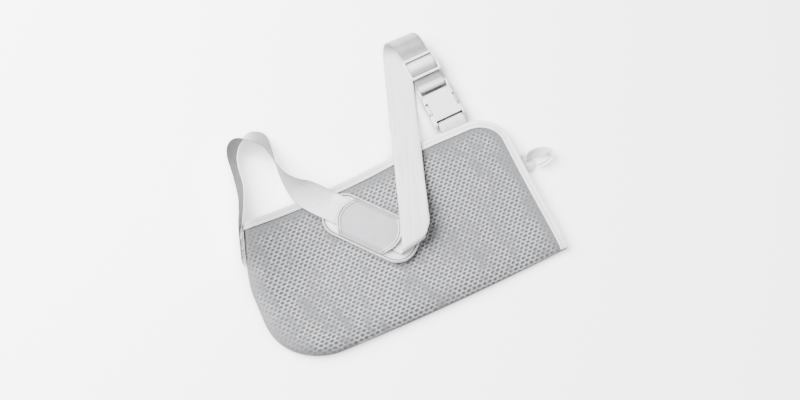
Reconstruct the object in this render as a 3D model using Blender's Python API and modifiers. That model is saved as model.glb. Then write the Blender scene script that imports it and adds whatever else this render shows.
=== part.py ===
"""Arm sling, lying flat and closed: mesh pouch, webbing strap, shoulder pad, slider and side-release buckle.

Frame: +X runs along the pouch to the hand end, +Y to the open top edge, +Z up. The origin is the middle of
the back panel's underside, which lies on the table. All sizes are in metres.
"""

from math import cos, exp, pi, radians, sin, sqrt

import bmesh
import bpy
from mathutils import Matrix, Vector

MM = 0.001
GAP = 0.3 * MM

# Pouch
POUCH_LEFT = -199.5 * MM
POUCH_RIGHT = 200 * MM
POUCH_BOTTOM = -104 * MM
POUCH_TOP = 104 * MM
ELBOW_CORNER_X = -176.5 * MM
ELBOW_CORNER_L = 84 * MM
FABRIC_T = 2.4 * MM
FLAT_HEIGHT = 19 * MM
HAND_HEIGHT = 13.4 * MM
ELBOW_RISE = 18 * MM
FOLD_RADIUS = 26 * MM
ELBOW_RADIUS = 26 * MM
BACK_EXTRA = 5 * MM
COLUMNS = 34
ROWS = 20
EDGE_ROWS = 4

# Binding tape
TAPE_W = 9.5 * MM
TAPE_T = 0.7 * MM
TAPE_GAP = 0.4 * MM
TAPE_DEPTHS = (-GAP - TAPE_T, -GAP, 0, 0.45 * TAPE_W, TAPE_W)

# Webbing
WEB_W = 38 * MM
WEB_T = 1.6 * MM

# Shoulder pad, in its own frame: +X along the strap towards the fold, +Z up
PAD_CENTRE = Vector((-24.9 * MM, 27.3 * MM, 0))
PAD_ANGLE = radians(-50)
PAD_L = 133 * MM
PAD_W = 60 * MM
PAD_Z = 20.8 * MM
PAD_T = 8 * MM
PAD_END_R = 27 * MM
COVER_L = 87 * MM
COVER_X = -2 * MM
TUNNEL_Y = 2.8 * MM
COVER_T = 5.4 * MM
COVER_ARC = 13 * MM
STRAP_IN_PAD_Z = PAD_Z + PAD_T + 1.3 * MM

# The long run of the strap: millimetres along it from the fold, and its height there
RUN_ANGLE = radians(70.7)
RUN_HEIGHTS = ((13, 38.9), (30, 38.9), (55, 35), (80, 27.5), (100, 24.4), (122, 23.6), (142, 19), (164, 10), (186, 3.4), (212, 1.6))
FOLD_R = 4.3 * MM
TURN_LENGTH = 64.5 * MM
TURN_RADIUS = 13.5 * MM
HEM_W = 2.6 * MM

# Buckle and slider, in their own frame: +Y from the pouch tab towards the slider, +Z up from the table
BUCKLE_PLACE = Vector((137.3 * MM, 129.1 * MM, 0))
BUCKLE_ANGLE = radians(1.9)
BUCKLE_Z = 8.6 * MM
BUCKLE_W = 46 * MM
BUCKLE_T = 12.5 * MM
FEMALE_L = 38.8 * MM
FEMALE_WALL = 1.8 * MM
SLOT_L = 3.4 * MM
BAR_L = 3 * MM
BAR_T = 3 * MM
BAR_WRAP_R = 3.3 * MM
WINDOW_START = 10.3 * MM
WINDOW_L = 18 * MM
NOTCH_X = 18.4 * MM
LATCH_PIVOT = Vector((13.2 * MM, 37.4 * MM, 0))
MALE_BAR_Y = 51.5 * MM
SLIDER_START = 66.6 * MM
SLIDER_L = 31.5 * MM
SLIDER_W = 46 * MM
SLIDER_T = 2.8 * MM
SLIDER_BAR = 3.6 * MM
SLIDER_Z = 16.4 * MM

# Thumb loop
THUMB_X = 200.1 * MM
THUMB_Y = 27 * MM
THUMB_Z = 3.6 * MM
THUMB_W = 13 * MM

WHITE_WEBBING = (0.86, 0.86, 0.87)
WHITE_TAPE = (0.84, 0.84, 0.85)
MESH_GREY = (0.62, 0.63, 0.64)
PAD_GREY = (0.78, 0.78, 0.82)
BUCKLE_WHITE = (0.9, 0.9, 0.91)


# ---------------------------------------------------------------- scene

def clear_scene():
    """Removes the objects of whatever file is open."""
    for old in list(bpy.data.objects):
        bpy.data.objects.remove(old)


def new_collection(name):
    collection = bpy.data.collections.new(name)
    bpy.context.scene.collection.children.link(collection)
    return collection


def material(name, colour, roughness):
    """A plain Principled BSDF."""
    made = bpy.data.materials.get(name)
    if made is None:
        made = bpy.data.materials.new(name)
        made.use_nodes = True
        shader = made.node_tree.nodes["Principled BSDF"]
        shader.inputs["Base Color"].default_value = (*colour, 1)
        shader.inputs["Roughness"].default_value = roughness
    return made


def finish_object(obj, finish, collection):
    """Puts an object in its collection with its material."""
    obj.data.materials.clear()
    obj.data.materials.append(finish)
    for other in list(obj.users_collection):
        other.objects.unlink(obj)
    collection.objects.link(obj)
    return obj


def add_parent(obj, parent):
    """Parents an object and keeps its place in the world."""
    bpy.context.view_layer.update()
    obj.parent = parent
    obj.matrix_parent_inverse = parent.matrix_world.inverted()


def new_empty(name, location, angle=0.0):
    empty = bpy.data.objects.new(name, None)
    empty.location = location
    empty.rotation_euler = (0, 0, angle)
    bpy.context.scene.collection.objects.link(empty)
    return empty


def from_bmesh(name, bm):
    bmesh.ops.recalc_face_normals(bm, faces=bm.faces)
    mesh = bpy.data.meshes.new(name)
    bm.to_mesh(mesh)
    bm.free()
    return bpy.data.objects.new(name, mesh)


def add_modifier(obj, kind, **settings):
    modifier = obj.modifiers.new(kind.title(), kind)
    for key, value in settings.items():
        setattr(modifier, key, value)
    return modifier


def cut(obj, cutter):
    """Cuts one solid from another and hides the cutter."""
    cutter.hide_render = True
    cutter.display_type = "WIRE"
    add_modifier(obj, "BOOLEAN", operation="DIFFERENCE", solver="EXACT", object=cutter)


def bevel(obj, width, segments=2):
    add_modifier(obj, "BEVEL", width=width, segments=segments, limit_method="ANGLE", angle_limit=radians(40))


def box(name, size, centre):
    """A box of the given size about its centre."""
    bm = bmesh.new()
    bmesh.ops.create_cube(bm, size=1)
    bmesh.ops.scale(bm, vec=size, verts=bm.verts)
    obj = from_bmesh(name, bm)
    obj.location = centre
    return obj


def plate(name, points, thickness, z, centre=Vector((0, 0, 0))):
    """A flat outline extruded from z upwards, as a mesh."""
    curve = bpy.data.curves.new(name, "CURVE")
    curve.dimensions = "2D"
    curve.fill_mode = "BOTH"
    curve.extrude = thickness / 2
    spline = curve.splines.new("POLY")
    spline.points.add(len(points) - 1)
    for point, (x, y) in zip(spline.points, points):
        point.co = (x, y, 0, 1)
    spline.use_cyclic_u = True
    outline = bpy.data.objects.new(name + "_outline", curve)
    bpy.context.scene.collection.objects.link(outline)
    bpy.context.view_layer.update()
    mesh = bpy.data.meshes.new_from_object(outline.evaluated_get(bpy.context.evaluated_depsgraph_get()))
    bpy.data.objects.remove(outline)
    bm = bmesh.new()
    bm.from_mesh(mesh)
    bmesh.ops.remove_doubles(bm, verts=bm.verts, dist=0.00001)
    bmesh.ops.dissolve_limit(bm, angle_limit=radians(0.5), verts=bm.verts, edges=bm.edges)
    obj = from_bmesh(name, bm)
    obj.location = centre + Vector((0, 0, z + thickness / 2))
    return obj


def rounded_outline(length, width, radius, steps=7):
    """A rectangle with round corners, about the origin."""
    points = []
    corners = ((1, 1, 0), (-1, 1, 90), (-1, -1, 180), (1, -1, 270))
    for sign_x, sign_y, start in corners:
        for step in range(steps + 1):
            angle = radians(start + 90 * step / steps)
            x = sign_x * (length / 2 - radius) + radius * cos(angle)
            y = sign_y * (width / 2 - radius) + radius * sin(angle)
            points.append((x, y))
    return points


# ---------------------------------------------------------------- ribbons

def smooth_path(stations, per_span):
    """Catmull-Rom points through stations of (centre, across)."""
    path = []
    for i in range(len(stations) - 1):
        before = stations[max(i - 1, 0)]
        here = stations[i]
        there = stations[i + 1]
        after = stations[min(i + 2, len(stations) - 1)]
        for step in range(per_span):
            t = step / per_span
            weights = (
                -0.5 * t + t**2 - 0.5 * t**3,
                1 - 2.5 * t**2 + 1.5 * t**3,
                0.5 * t + 2 * t**2 - 1.5 * t**3,
                -0.5 * t**2 + 0.5 * t**3,
            )
            around = (before, here, there, after)
            centre = Vector()
            across = Vector()
            for weight, (c, a) in zip(weights, around):
                centre += weight * c
                across += weight * a
            length = sum(weight * a.length for weight, (c, a) in zip(weights, around))
            path.append((centre, across.normalized() * length))
    path.append(stations[-1])
    return path


def station(x, y, z, across):
    """One place on a ribbon in millimetres, with the direction across it."""
    return Vector((x, y, z)) * MM, Vector(across).normalized()


def ribbon(name, path, width=WEB_W, thickness=WEB_T, columns=2):
    """An open strip along a path of (centre, across), made solid about its middle."""
    bm = bmesh.new()
    rows = []
    for centre, across in path:
        row = [bm.verts.new(centre + across * width * (k / columns - 0.5)) for k in range(columns + 1)]
        rows.append(row)
    for row, following in zip(rows, rows[1:]):
        for k in range(columns):
            bm.faces.new((row[k], row[k + 1], following[k + 1], following[k]))
    mesh = bpy.data.meshes.new(name)
    bm.to_mesh(mesh)
    bm.free()
    mesh.shade_smooth()
    obj = bpy.data.objects.new(name, mesh)
    add_modifier(obj, "SOLIDIFY", thickness=thickness, offset=0, use_even_offset=True)
    return obj


def roll(start, across_start, heading, outgoing, radius, steps=10):
    """Stations where a flat strap rolls over itself, upwards, and leaves in another direction.

    The strap lies on a cylinder, so every station there runs along the cylinder's axis.
    """
    normal = (heading - outgoing).normalized()
    axis = Vector((-normal.y, normal.x, 0))
    along_axis = heading.dot(axis)
    along_normal = heading.dot(normal)
    up = Vector((0, 0, 1))
    side = 1 if across_start.dot(axis * along_normal - normal * along_axis) > 0 else -1
    across = axis * side / along_normal
    path = []
    for step in range(steps + 1):
        angle = pi * step / steps
        centre = start + axis * (along_axis / along_normal * radius * angle)
        centre = centre + normal * radius * sin(angle) + up * radius * (1 - cos(angle))
        path.append((centre, across))
    return path


# ---------------------------------------------------------------- pouch shape

def ease(t):
    """A smooth step from 0 to 1."""
    t = min(max(t, 0), 1)
    return t * t * (3 - 2 * t)


def left_edge(t):
    """X of the elbow end, from the fold (t 0) to the top edge (t 1): one big round corner, then a slow bulge."""
    corner = 0.38
    x = POUCH_LEFT + (ELBOW_CORNER_X - POUCH_LEFT) * max(0, (t - 0.58) / 0.42) ** 1.3
    if t < corner:
        x += ELBOW_CORNER_L * (1 - sqrt(1 - (1 - t / corner) ** 2.15))
    return x


def right_edge(t):
    """X of the hand end, straight with one round corner at the top."""
    corner = 0.8
    x = POUCH_RIGHT - 2 * MM * ease(t / 0.6)
    if t > corner:
        x -= 46 * MM * (1 - sqrt(max(0, 1 - ((t - corner) / (1 - corner)) ** 2)))
    return x


def bottom_edge(s):
    return POUCH_BOTTOM + 3 * MM * (2 * s - 1) ** 2


def top_edge(s):
    return POUCH_TOP - 4 * MM + 9 * MM * ease((s - 0.4) / 0.5)


def spread(step, count, margin):
    """A row's place in 0..1: rows crowd at 0, where the fabric curves most, and at the bound edge."""
    from_end = count - step
    if from_end <= EDGE_ROWS:
        return 1 - margin * (from_end / EDGE_ROWS) ** 2
    return (1 - margin) * (step / (count - EDGE_ROWS)) ** 1.6


def column_place(step):
    return spread(step, COLUMNS, 0.065)


def row_place(step):
    return spread(step, ROWS, 0.125)


def plan_point(s, t, extra):
    """A place on a panel, s from elbow to hand and t from fold to top edge."""
    x = left_edge(t) + s * (right_edge(t) - left_edge(t))
    y = bottom_edge(s) + t * (top_edge(s) + extra - bottom_edge(s))
    return x, y


def lifted_height(x, y):
    """Top of the front panel where it lies clear of the fold and the elbow seam."""
    slope = ease((150 * MM - x) / (118 * MM))
    rise = exp(-(((x + 200 * MM) / (62 * MM)) ** 2))
    upper = 0.42 + 0.58 * ease((y + 70 * MM) / (130 * MM))
    return HAND_HEIGHT + (FLAT_HEIGHT - HAND_HEIGHT) * slope + ELBOW_RISE * rise * upper


def round_over(distance, radius):
    """0 at an edge and 1 a radius away, as a quarter circle."""
    near = min(max(1 - distance / radius, 0), 1)
    return sqrt(1 - near * near)


def front_middle_z(s, t):
    """Height of the front panel's middle surface."""
    x, y = plan_point(s, t, 0)
    fold = round_over(y - bottom_edge(s), FOLD_RADIUS)
    seam = round_over(x - left_edge(t), ELBOW_RADIUS)
    lowest = back_middle_z(s, t) + FABRIC_T + 2 * GAP
    highest = lifted_height(x, y) - FABRIC_T / 2
    return lowest + (highest - lowest) * fold * seam


def back_middle_z(s, t):
    """Height of the back panel's middle surface: flat, lifted a little where its edge is bound."""
    x, y = plan_point(s, t, BACK_EXTRA)
    to_edge = min(right_edge(t) - x, top_edge(s) + BACK_EXTRA - y)
    clear = (to_edge - TAPE_W - 3 * MM) / (14 * MM)
    return FABRIC_T / 2 + (TAPE_T + TAPE_GAP + GAP) * (1 - ease(clear))


def panel(name, extra, middle_z, mesh_material, parts):
    """One panel of spacer mesh: a flat grid shaped by formula, made solid."""
    bm = bmesh.new()
    bmesh.ops.create_grid(bm, x_segments=COLUMNS, y_segments=ROWS, size=0.5)
    for vert in bm.verts:
        s = column_place((vert.co.x + 0.5) * COLUMNS)
        t = row_place((vert.co.y + 0.5) * ROWS)
        x, y = plan_point(s, t, extra)
        vert.co = Vector((x, y, middle_z(s, t)))
    obj = from_bmesh(name, bm)
    obj.data.shade_smooth()
    add_modifier(obj, "SOLIDIFY", thickness=FABRIC_T, offset=0, use_even_offset=True)
    return finish_object(obj, mesh_material, parts)


def bound_edge(extra, middle_z):
    """The bound edge of a panel, from the elbow corner along the top and down the hand end.

    Each place is a line of points into the panel, and the direction out of its face.
    """
    places = [(column_place(k), 1.0) for k in range(2, COLUMNS + 1)]
    places += [(1.0, row_place(k)) for k in range(ROWS - 1, 0, -1)]
    edge = []
    for s, t in places:
        x, y = plan_point(s, t, extra)
        edge.append(Vector((x, y, middle_z(s, t))))
    spots = []
    for k, ((s, t), point) in enumerate(zip(places, edge)):
        ahead = edge[min(k + 1, len(edge) - 1)] - edge[max(k - 1, 0)]
        level = Vector((ahead.y, -ahead.x, 0)).normalized()
        line = []
        for depth in TAPE_DEPTHS:
            inside = point + level * depth
            t_inside = t + level.y * depth / (top_edge(s) + extra - bottom_edge(s))
            s_inside = (inside.x - left_edge(t_inside)) / (right_edge(t_inside) - left_edge(t_inside))
            inside.z = middle_z(s_inside, t_inside) if depth > 0 else point.z
            line.append(inside)
        spots.append((line, (line[-1] - point).cross(ahead).normalized()))
    return spots


def binding(name, extra, middle_z, tape_material, parts):
    """Tape folded over a panel's edge: a channel swept along it."""
    outer = FABRIC_T / 2 + TAPE_GAP + TAPE_T
    inner = FABRIC_T / 2 + TAPE_GAP
    section = (
        (4, outer),
        (3, outer),
        (2, outer),
        (0, outer - TAPE_T),
        (0, TAPE_T - outer),
        (2, -outer),
        (3, -outer),
        (4, -outer),
        (4, -inner),
        (3, -inner),
        (1, -inner),
        (1, inner),
        (3, inner),
        (4, inner),
    )
    bm = bmesh.new()
    rings = []
    for line, outward in bound_edge(extra, middle_z):
        ring = [bm.verts.new(line[place] + outward * up) for place, up in section]
        rings.append(ring)
    count = len(section)
    for ring, following in zip(rings, rings[1:]):
        for k in range(count):
            after = (k + 1) % count
            bm.faces.new((ring[k], ring[after], following[after], following[k]))
    bm.faces.new(rings[0])
    bm.faces.new(rings[-1])
    return finish_object(from_bmesh(name, bm), tape_material, parts)


# ---------------------------------------------------------------- strap

def strap_line(distance, z):
    """A place on the strap's straight line through the pad, measured back from the fold."""
    heading = Vector((cos(PAD_ANGLE), sin(PAD_ANGLE), 0))
    foot = Vector((17.6 * MM, -19 * MM, 0))
    return foot - heading * distance + Vector((0, 0, z))


def strap_elbow_loop():
    """The sewn end at the elbow, the loop that stands on its edge, and the twist that lays it flat."""
    stations = [
        station(-194.2, 57, 19.8, (0.1, -0.02, 1)),
        station(-187.6, 80, 19.8, (0.1, -0.02, 1)),
        station(-181, 99, 19.8, (0.08, -0.02, 1)),
        station(-173, 116, 19.8, (0.05, -0.02, 1)),
        station(-165.4, 134, 19.8, (-0.02, 0, 1)),
        station(-158.6, 160, 19.8, (-0.15, 0.1, 1)),
        station(-155, 190, 19.8, (-0.17, 0.15, 1)),
        station(-148.5, 205, 19.8, (-0.09, 0.13, 1)),
        station(-137.5, 212.6, 19.6, (0, -0.12, 1)),
        station(-121, 213.5, 16.4, (-0.05, -0.64, 0.77)),
        station(-106, 202, 14.6, (-0.22, -0.7, 0.68)),
        station(-103.4, 182, 17.6, (-0.14, -0.52, 0.84)),
        station(-103.4, 158, 22.6, (0.05, -0.3, 0.95)),
        station(-101, 137, 27.6, (0.26, -0.14, 0.93)),
        station(-94.5, 119, 32, (0.5, 0.08, 0.8)),
        station(-84, 103, 33.6, (0.72, 0.36, 0.42)),
    ]
    across = Vector((-sin(PAD_ANGLE), cos(PAD_ANGLE), 0))
    flat_end = [(strap_line(d * MM, STRAP_IN_PAD_Z), across) for d in (128, 122, 118)]
    return smooth_path(stations + flat_end, 3)


def strap_parts(web, parts):
    """The six lengths of the shoulder strap, in order from the elbow to the buckle."""
    finish_object(ribbon("strap_elbow_loop", strap_elbow_loop()), web, parts)

    across = Vector((-sin(PAD_ANGLE), cos(PAD_ANGLE), 0))
    heading = Vector((cos(PAD_ANGLE), sin(PAD_ANGLE), 0))
    turn_room = 12 * MM
    fold_start = 5.6 * MM
    into_fold = fold_start + turn_room
    run = [(strap_line(d, STRAP_IN_PAD_Z), across) for d in (117.6 * MM, 60 * MM, into_fold + GAP)]
    finish_object(ribbon("strap_pad_run", run), web, parts)

    outgoing = Vector((cos(RUN_ANGLE), sin(RUN_ANGLE), 0))
    folded = roll(strap_line(fold_start, STRAP_IN_PAD_Z), across, heading, outgoing, FOLD_R)
    folded_end = folded[-1][0]
    square = Vector((outgoing.y, -outgoing.x, 0))
    if folded[-1][1].dot(square) < 0:
        square = -square
    front = []
    for distance, height in RUN_HEIGHTS:
        centre = folded_end + outgoing * distance * MM
        centre.z = height * MM
        front.append((centre, square))
    path = [(strap_line(into_fold, STRAP_IN_PAD_Z), across)] + folded + smooth_path(front, 2)
    finish_object(ribbon("strap_front_run", path), web, parts)
    return path[-1], outgoing


def strap_turn(last, outgoing, web, parts):
    """The turn at the top, where the strap rolls towards the viewer and comes back on top of itself."""
    start = last[0] + outgoing * GAP
    near = last[0] + outgoing * TURN_LENGTH
    rolled = roll(near, last[1], outgoing, Vector((0.32, -0.947, 0)), TURN_RADIUS)
    side = Vector((cos(BUCKLE_ANGLE), sin(BUCKLE_ANGLE), 0))
    side = side if rolled[-1][1].x > 0 else -side
    slider_top = SLIDER_START + SLIDER_L + 2 * MM
    under = SLIDER_Z - 2.6 * MM
    end = rolled[-1]
    weave_top = buckle_to_world(Vector((0, slider_top, under)))
    down = [end]
    for along, height in ((0.45, 23.5 * MM), (0.75, 16.6 * MM), (1, under)):
        centre = end[0].lerp(weave_top, along)
        centre.z = height
        down.append((centre, end[1].lerp(side, along)))
    path = [(start, last[1])] + rolled[:-1] + smooth_path(down, 3)
    finish_object(ribbon("strap_top_turn", path), web, parts)


def line_path(points):
    """A ribbon path along the buckle's middle, from (y, z) pairs in millimetres."""
    side = Vector((1, 0, 0))
    return [(Vector((0, y * MM, z * MM)), side) for y, z in points]


def arc(centre_y, centre_z, radius, start, stop, steps=8):
    """(y, z) pairs on an arc, in degrees from +Y."""
    found = []
    for step in range(steps + 1):
        angle = radians(start + (stop - start) * step / steps)
        found.append((centre_y + radius * cos(angle), centre_z + radius * sin(angle)))
    return found


def strap_hardware(web, parts, frame):
    """The webbing at the slider, the male buckle's bar and the pouch tab."""
    made = []
    top = (SLIDER_START + SLIDER_L) / MM
    low = SLIDER_START / MM
    middle = (top + low) / 2
    slider_z = SLIDER_Z / MM
    under = slider_z - 2.6
    over = slider_z + 2.6
    weave = [(top + 0.7, under), (top - 1, under), (top - 4, under), (top - 8, under + 2.2), (middle + 4.4, over - 0.6)]
    weave += [(middle + 2, over + 0.3), (middle, over + 0.5), (middle - 2, over + 0.3), (middle - 4.4, over - 0.6)]
    weave += [(low + 8, under + 2.2), (low + 4, under), (low + 1, under), (low - 0.4, under)]
    made.append(ribbon("strap_slider_weave", line_path(weave)))

    bar_y = MALE_BAR_Y / MM
    bar_z = BUCKLE_Z / MM
    wrap = BAR_WRAP_R / MM
    loop = [(low - 1, under), (low - 5, under - 0.8), (bar_y + 5, bar_z + wrap + 1.2)]
    loop += arc(bar_y, bar_z, wrap, 80, 280, 10)
    loop += [(bar_y + 5, bar_z - wrap + 0.3), (low - 5, under - 3.6), (low + 2, under - 2.4), (low + 8, under - 2.0)]
    made.append(ribbon("strap_buckle_loop", line_path(loop)))

    tail_y = -(SLOT_L + BAR_L / 2) / MM
    tab = [(-38, 6), (-24, 6), (-16, 6), (-10, bar_z - wrap + 0.2)]
    tab += arc(tail_y, bar_z, wrap, -90, 90, 8)
    tab += [(-10, bar_z + wrap - 0.3), (-16, 9), (-22, 8), (-38, 8)]
    made.append(ribbon("buckle_tab", line_path(tab)))
    for piece in made:
        finish_object(piece, web, parts)
        piece.parent = frame


# ---------------------------------------------------------------- shoulder pad

def cover_outline(length, width, bulge, steps=8):
    """Straight long sides and ends that bow outwards."""
    points = []
    for sign in (1, -1):
        for step in range(steps + 1):
            across = sign * (1 - 2 * step / steps)
            x = sign * (length / 2 - bulge * across**2)
            points.append((x, -across * width / 2))
    return points


def shoulder_pad(foam, cover_finish, tape, parts, cutters):
    """The foam pad, its edging, and the cover that makes a tunnel for the strap."""
    pivot = new_empty("pad_slide", PAD_CENTRE, PAD_ANGLE)
    made = []
    edging_w = 3.2 * MM
    inner = (PAD_L - 2 * edging_w - 2 * GAP, PAD_W - 2 * edging_w - 2 * GAP, PAD_END_R - edging_w)
    base = plate("pad_base", rounded_outline(*inner), PAD_T, PAD_Z)
    bevel(base, 1.5 * MM)
    made.append(finish_object(base, foam, parts))

    edging = plate("pad_edging", rounded_outline(PAD_L, PAD_W, PAD_END_R), PAD_T - 1 * MM, PAD_Z)
    hole = (inner[0] + 2 * GAP, inner[1] + 2 * GAP, inner[2] + GAP)
    edging_cut = plate("pad_edging_cut", rounded_outline(*hole), PAD_T + 4 * MM, PAD_Z - 2 * MM)
    cut(edging, edging_cut)
    bevel(edging, 1.2 * MM)
    cutters.objects.link(edging_cut)
    made.append(finish_object(edging, tape, parts))

    cover_z = PAD_Z + PAD_T + GAP
    cover_place = Vector((COVER_X, 0, 0))
    cover_w = PAD_W - 2 * edging_w - 1 * MM
    hem_room = HEM_W + GAP
    outline = cover_outline(COVER_L - 2 * hem_room, cover_w, COVER_ARC)
    cover = plate("pad_cover", outline, COVER_T, cover_z, cover_place)
    tunnel_h = WEB_T + 1 * MM
    tunnel = box("pad_tunnel", (PAD_L, WEB_W + 2 * MM, 2 * tunnel_h), (0, TUNNEL_Y, cover_z))
    cut(cover, tunnel)
    bevel(cover, 1.1 * MM)
    cutters.objects.link(tunnel)
    made.append(finish_object(cover, cover_finish, parts))

    for name, sign in (("pad_cover_left_hem", -1), ("pad_cover_right_hem", 1)):
        hem_t = COVER_T - tunnel_h + 0.8 * MM
        hem = plate(name, hem_outline(sign, cover_w), hem_t, cover_z + tunnel_h, cover_place)
        bevel(hem, 0.9 * MM)
        made.append(finish_object(hem, tape, parts))
    bpy.context.view_layer.update()
    for piece in made + [edging_cut, tunnel]:
        piece.parent = pivot


def hem_outline(sign, cover_w, steps=12):
    """A narrow band that follows one bowed end of the cover."""
    inner_side = []
    outer_side = []
    for step in range(steps + 1):
        across = 1 - 2 * step / steps
        bow = COVER_ARC * across**2
        inner_side.append((sign * (COVER_L / 2 - HEM_W - bow), across * cover_w / 2))
        outer_side.append((sign * (COVER_L / 2 - bow), across * cover_w / 2))
    points = outer_side + inner_side[::-1]
    return points if sign < 0 else points[::-1]


# ---------------------------------------------------------------- buckle and slider

def at_buckle(y, z=0.0, x=0.0):
    """A place in the buckle's frame: y from the female body's tail end, z from its middle, x across."""
    return Vector((x, y, BUCKLE_Z + z))


def buckle_to_world(point):
    return Matrix.Translation(BUCKLE_PLACE) @ Matrix.Rotation(BUCKLE_ANGLE, 4, "Z") @ point


def buckle_female(plastic, parts, cutters, frame):
    """The sleeve with side windows, and the tail bar that the pouch tab wraps."""
    tail = SLOT_L + BAR_L
    outline = [
        (-BUCKLE_W / 2, -tail + 2 * MM),
        (-BUCKLE_W / 2 + 2 * MM, -tail),
        (BUCKLE_W / 2 - 2 * MM, -tail),
        (BUCKLE_W / 2, -tail + 2 * MM),
        (BUCKLE_W / 2, 4 * MM),
        (BUCKLE_W / 2 - 1.6 * MM, FEMALE_L),
        (-BUCKLE_W / 2 + 1.6 * MM, FEMALE_L),
        (-BUCKLE_W / 2, 4 * MM),
    ]
    body = plate("buckle_female", outline, BUCKLE_T, -BUCKLE_T / 2)
    body.location += at_buckle(0)
    bevel(body, 1.7 * MM, 3)
    inside_h = BUCKLE_T - 2 * FEMALE_WALL
    deep = FEMALE_L + 1 * MM
    mouth_l = deep - 3 * MM
    sleeve = box(
        "female_sleeve_cut",
        (BUCKLE_W - 5.6 * MM, mouth_l, inside_h),
        at_buckle(3 * MM + mouth_l / 2),
    )
    windows = box(
        "female_window_cut",
        (BUCKLE_W + 6 * MM, WINDOW_L, inside_h - 1.4 * MM),
        at_buckle(WINDOW_START + WINDOW_L / 2),
    )
    slot = box("female_slot_cut", (WEB_W + 1.6 * MM, SLOT_L, BUCKLE_T + 4 * MM), at_buckle(-SLOT_L / 2))
    bar_room = (WEB_W + 1.2 * MM, BAR_L + 6 * MM, BUCKLE_T)
    bar_y = -tail - 0.6 * MM
    over_bar = box("female_bar_top_cut", bar_room, at_buckle(bar_y, BAR_T / 2 + BUCKLE_T / 2))
    under_bar = box("female_bar_under_cut", bar_room, at_buckle(bar_y, -BAR_T / 2 - BUCKLE_T / 2))
    notches = []
    for sign in (1, -1):
        notch = box(
            "female_notch_cut",
            (7 * MM, WINDOW_L + 1 * MM, BUCKLE_T + 4 * MM),
            at_buckle(WINDOW_START + WINDOW_L / 2, 0, sign * (NOTCH_X + 3.5 * MM)),
        )
        notches.append(notch)
    for cutter in [sleeve, windows, slot, over_bar, under_bar] + notches:
        cutters.objects.link(cutter)
        cut(body, cutter)
        cutter.parent = frame
    finish_object(body, plastic, parts)
    body.parent = frame


def buckle_male(plastic, parts, cutters, frame):
    """The shoulder with its webbing bar, and the guide tongue that runs in the sleeve."""
    shoulder_start = FEMALE_L + GAP
    shoulder_end = MALE_BAR_Y + BAR_L / 2
    length = shoulder_end - shoulder_start
    outline = [
        (-BUCKLE_W / 2 + 1.4 * MM, shoulder_start + 0.5 * MM),
        (-BUCKLE_W / 2 + 0.4 * MM, shoulder_end - 2 * MM),
        (-BUCKLE_W / 2 + 2.4 * MM, shoulder_end),
        (BUCKLE_W / 2 - 2.4 * MM, shoulder_end),
        (BUCKLE_W / 2 - 0.4 * MM, shoulder_end - 2 * MM),
        (BUCKLE_W / 2 - 1.4 * MM, shoulder_start + 0.5 * MM),
        (4.2 * MM, shoulder_start),
        (3.4 * MM, 8 * MM),
        (2 * MM, 6 * MM),
        (-2 * MM, 6 * MM),
        (-3.4 * MM, 8 * MM),
        (-4.2 * MM, shoulder_start),
    ]
    thick = BUCKLE_T - 2 * FEMALE_WALL - 1.2 * MM
    body = plate("buckle_male", outline[::-1], thick, -thick / 2)
    body.location += at_buckle(0)
    slot_end = MALE_BAR_Y - BAR_L / 2
    slot_start = shoulder_start + 2.2 * MM
    slot = box(
        "male_slot_cut",
        (WEB_W + 1.6 * MM, slot_end - slot_start, BUCKLE_T),
        at_buckle((slot_end + slot_start) / 2),
    )
    cutters.objects.link(slot)
    cut(body, slot)
    slot.parent = frame
    for sign in (1, -1):
        thinned = box(
            "male_bar_cut",
            (WEB_W + 1.2 * MM, BAR_L + 6 * MM, BUCKLE_T),
            at_buckle(MALE_BAR_Y + 1.6 * MM, sign * (BAR_T / 2 + BUCKLE_T / 2)),
        )
        cutters.objects.link(thinned)
        cut(body, thinned)
        thinned.parent = frame
    bevel(body, 0.6 * MM)
    finish_object(body, plastic, parts)
    body.parent = frame
    arm_thick = thick - 1.2 * MM
    for name, sign in (("buckle_left_latch_arm", -1), ("buckle_right_latch_arm", 1)):
        pivot = new_empty(name + "_pivot", at_buckle(LATCH_PIVOT.y, 0, sign * LATCH_PIVOT.x))
        pivot.parent = frame
        arm = [
            (-1.5, 1.4), (1.5, 1.4), (2.2, -7), (5.2, -10), (8.8, -10.2), (9.4, -11.5), (8.8, -20.6),
            (6.6, -24.6), (3.4, -26.2), (2.2, -25.4), (3.2, -20.6), (2.6, -12.6), (-0.6, -7),
        ]
        points = [(sign * x * MM, y * MM) for x, y in arm]
        latch = plate(name, points if sign < 0 else points[::-1], arm_thick, -arm_thick / 2)
        bevel(latch, 0.7 * MM, 1)
        finish_object(latch, plastic, parts)
        latch.parent = pivot


def slider(plastic, parts, cutters, frame):
    """The tri-glide: a frame with a middle bar."""
    centre = Vector((0, SLIDER_START + SLIDER_L / 2, SLIDER_Z))
    body = plate("slider", rounded_outline(SLIDER_W, SLIDER_L, 3 * MM, 3), SLIDER_T, -SLIDER_T / 2, centre)
    window_l = (SLIDER_L - 3 * SLIDER_BAR) / 2
    for sign in (1, -1):
        offset = Vector((0, sign * (window_l + SLIDER_BAR) / 2, 0))
        window = box("slider_window_cut", (WEB_W + 1.6 * MM, window_l, SLIDER_T + 4 * MM), centre + offset)
        cutters.objects.link(window)
        cut(body, window)
        window.parent = frame
    bevel(body, 0.7 * MM)
    finish_object(body, plastic, parts)
    body.parent = frame


# ---------------------------------------------------------------- thumb loop

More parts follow.
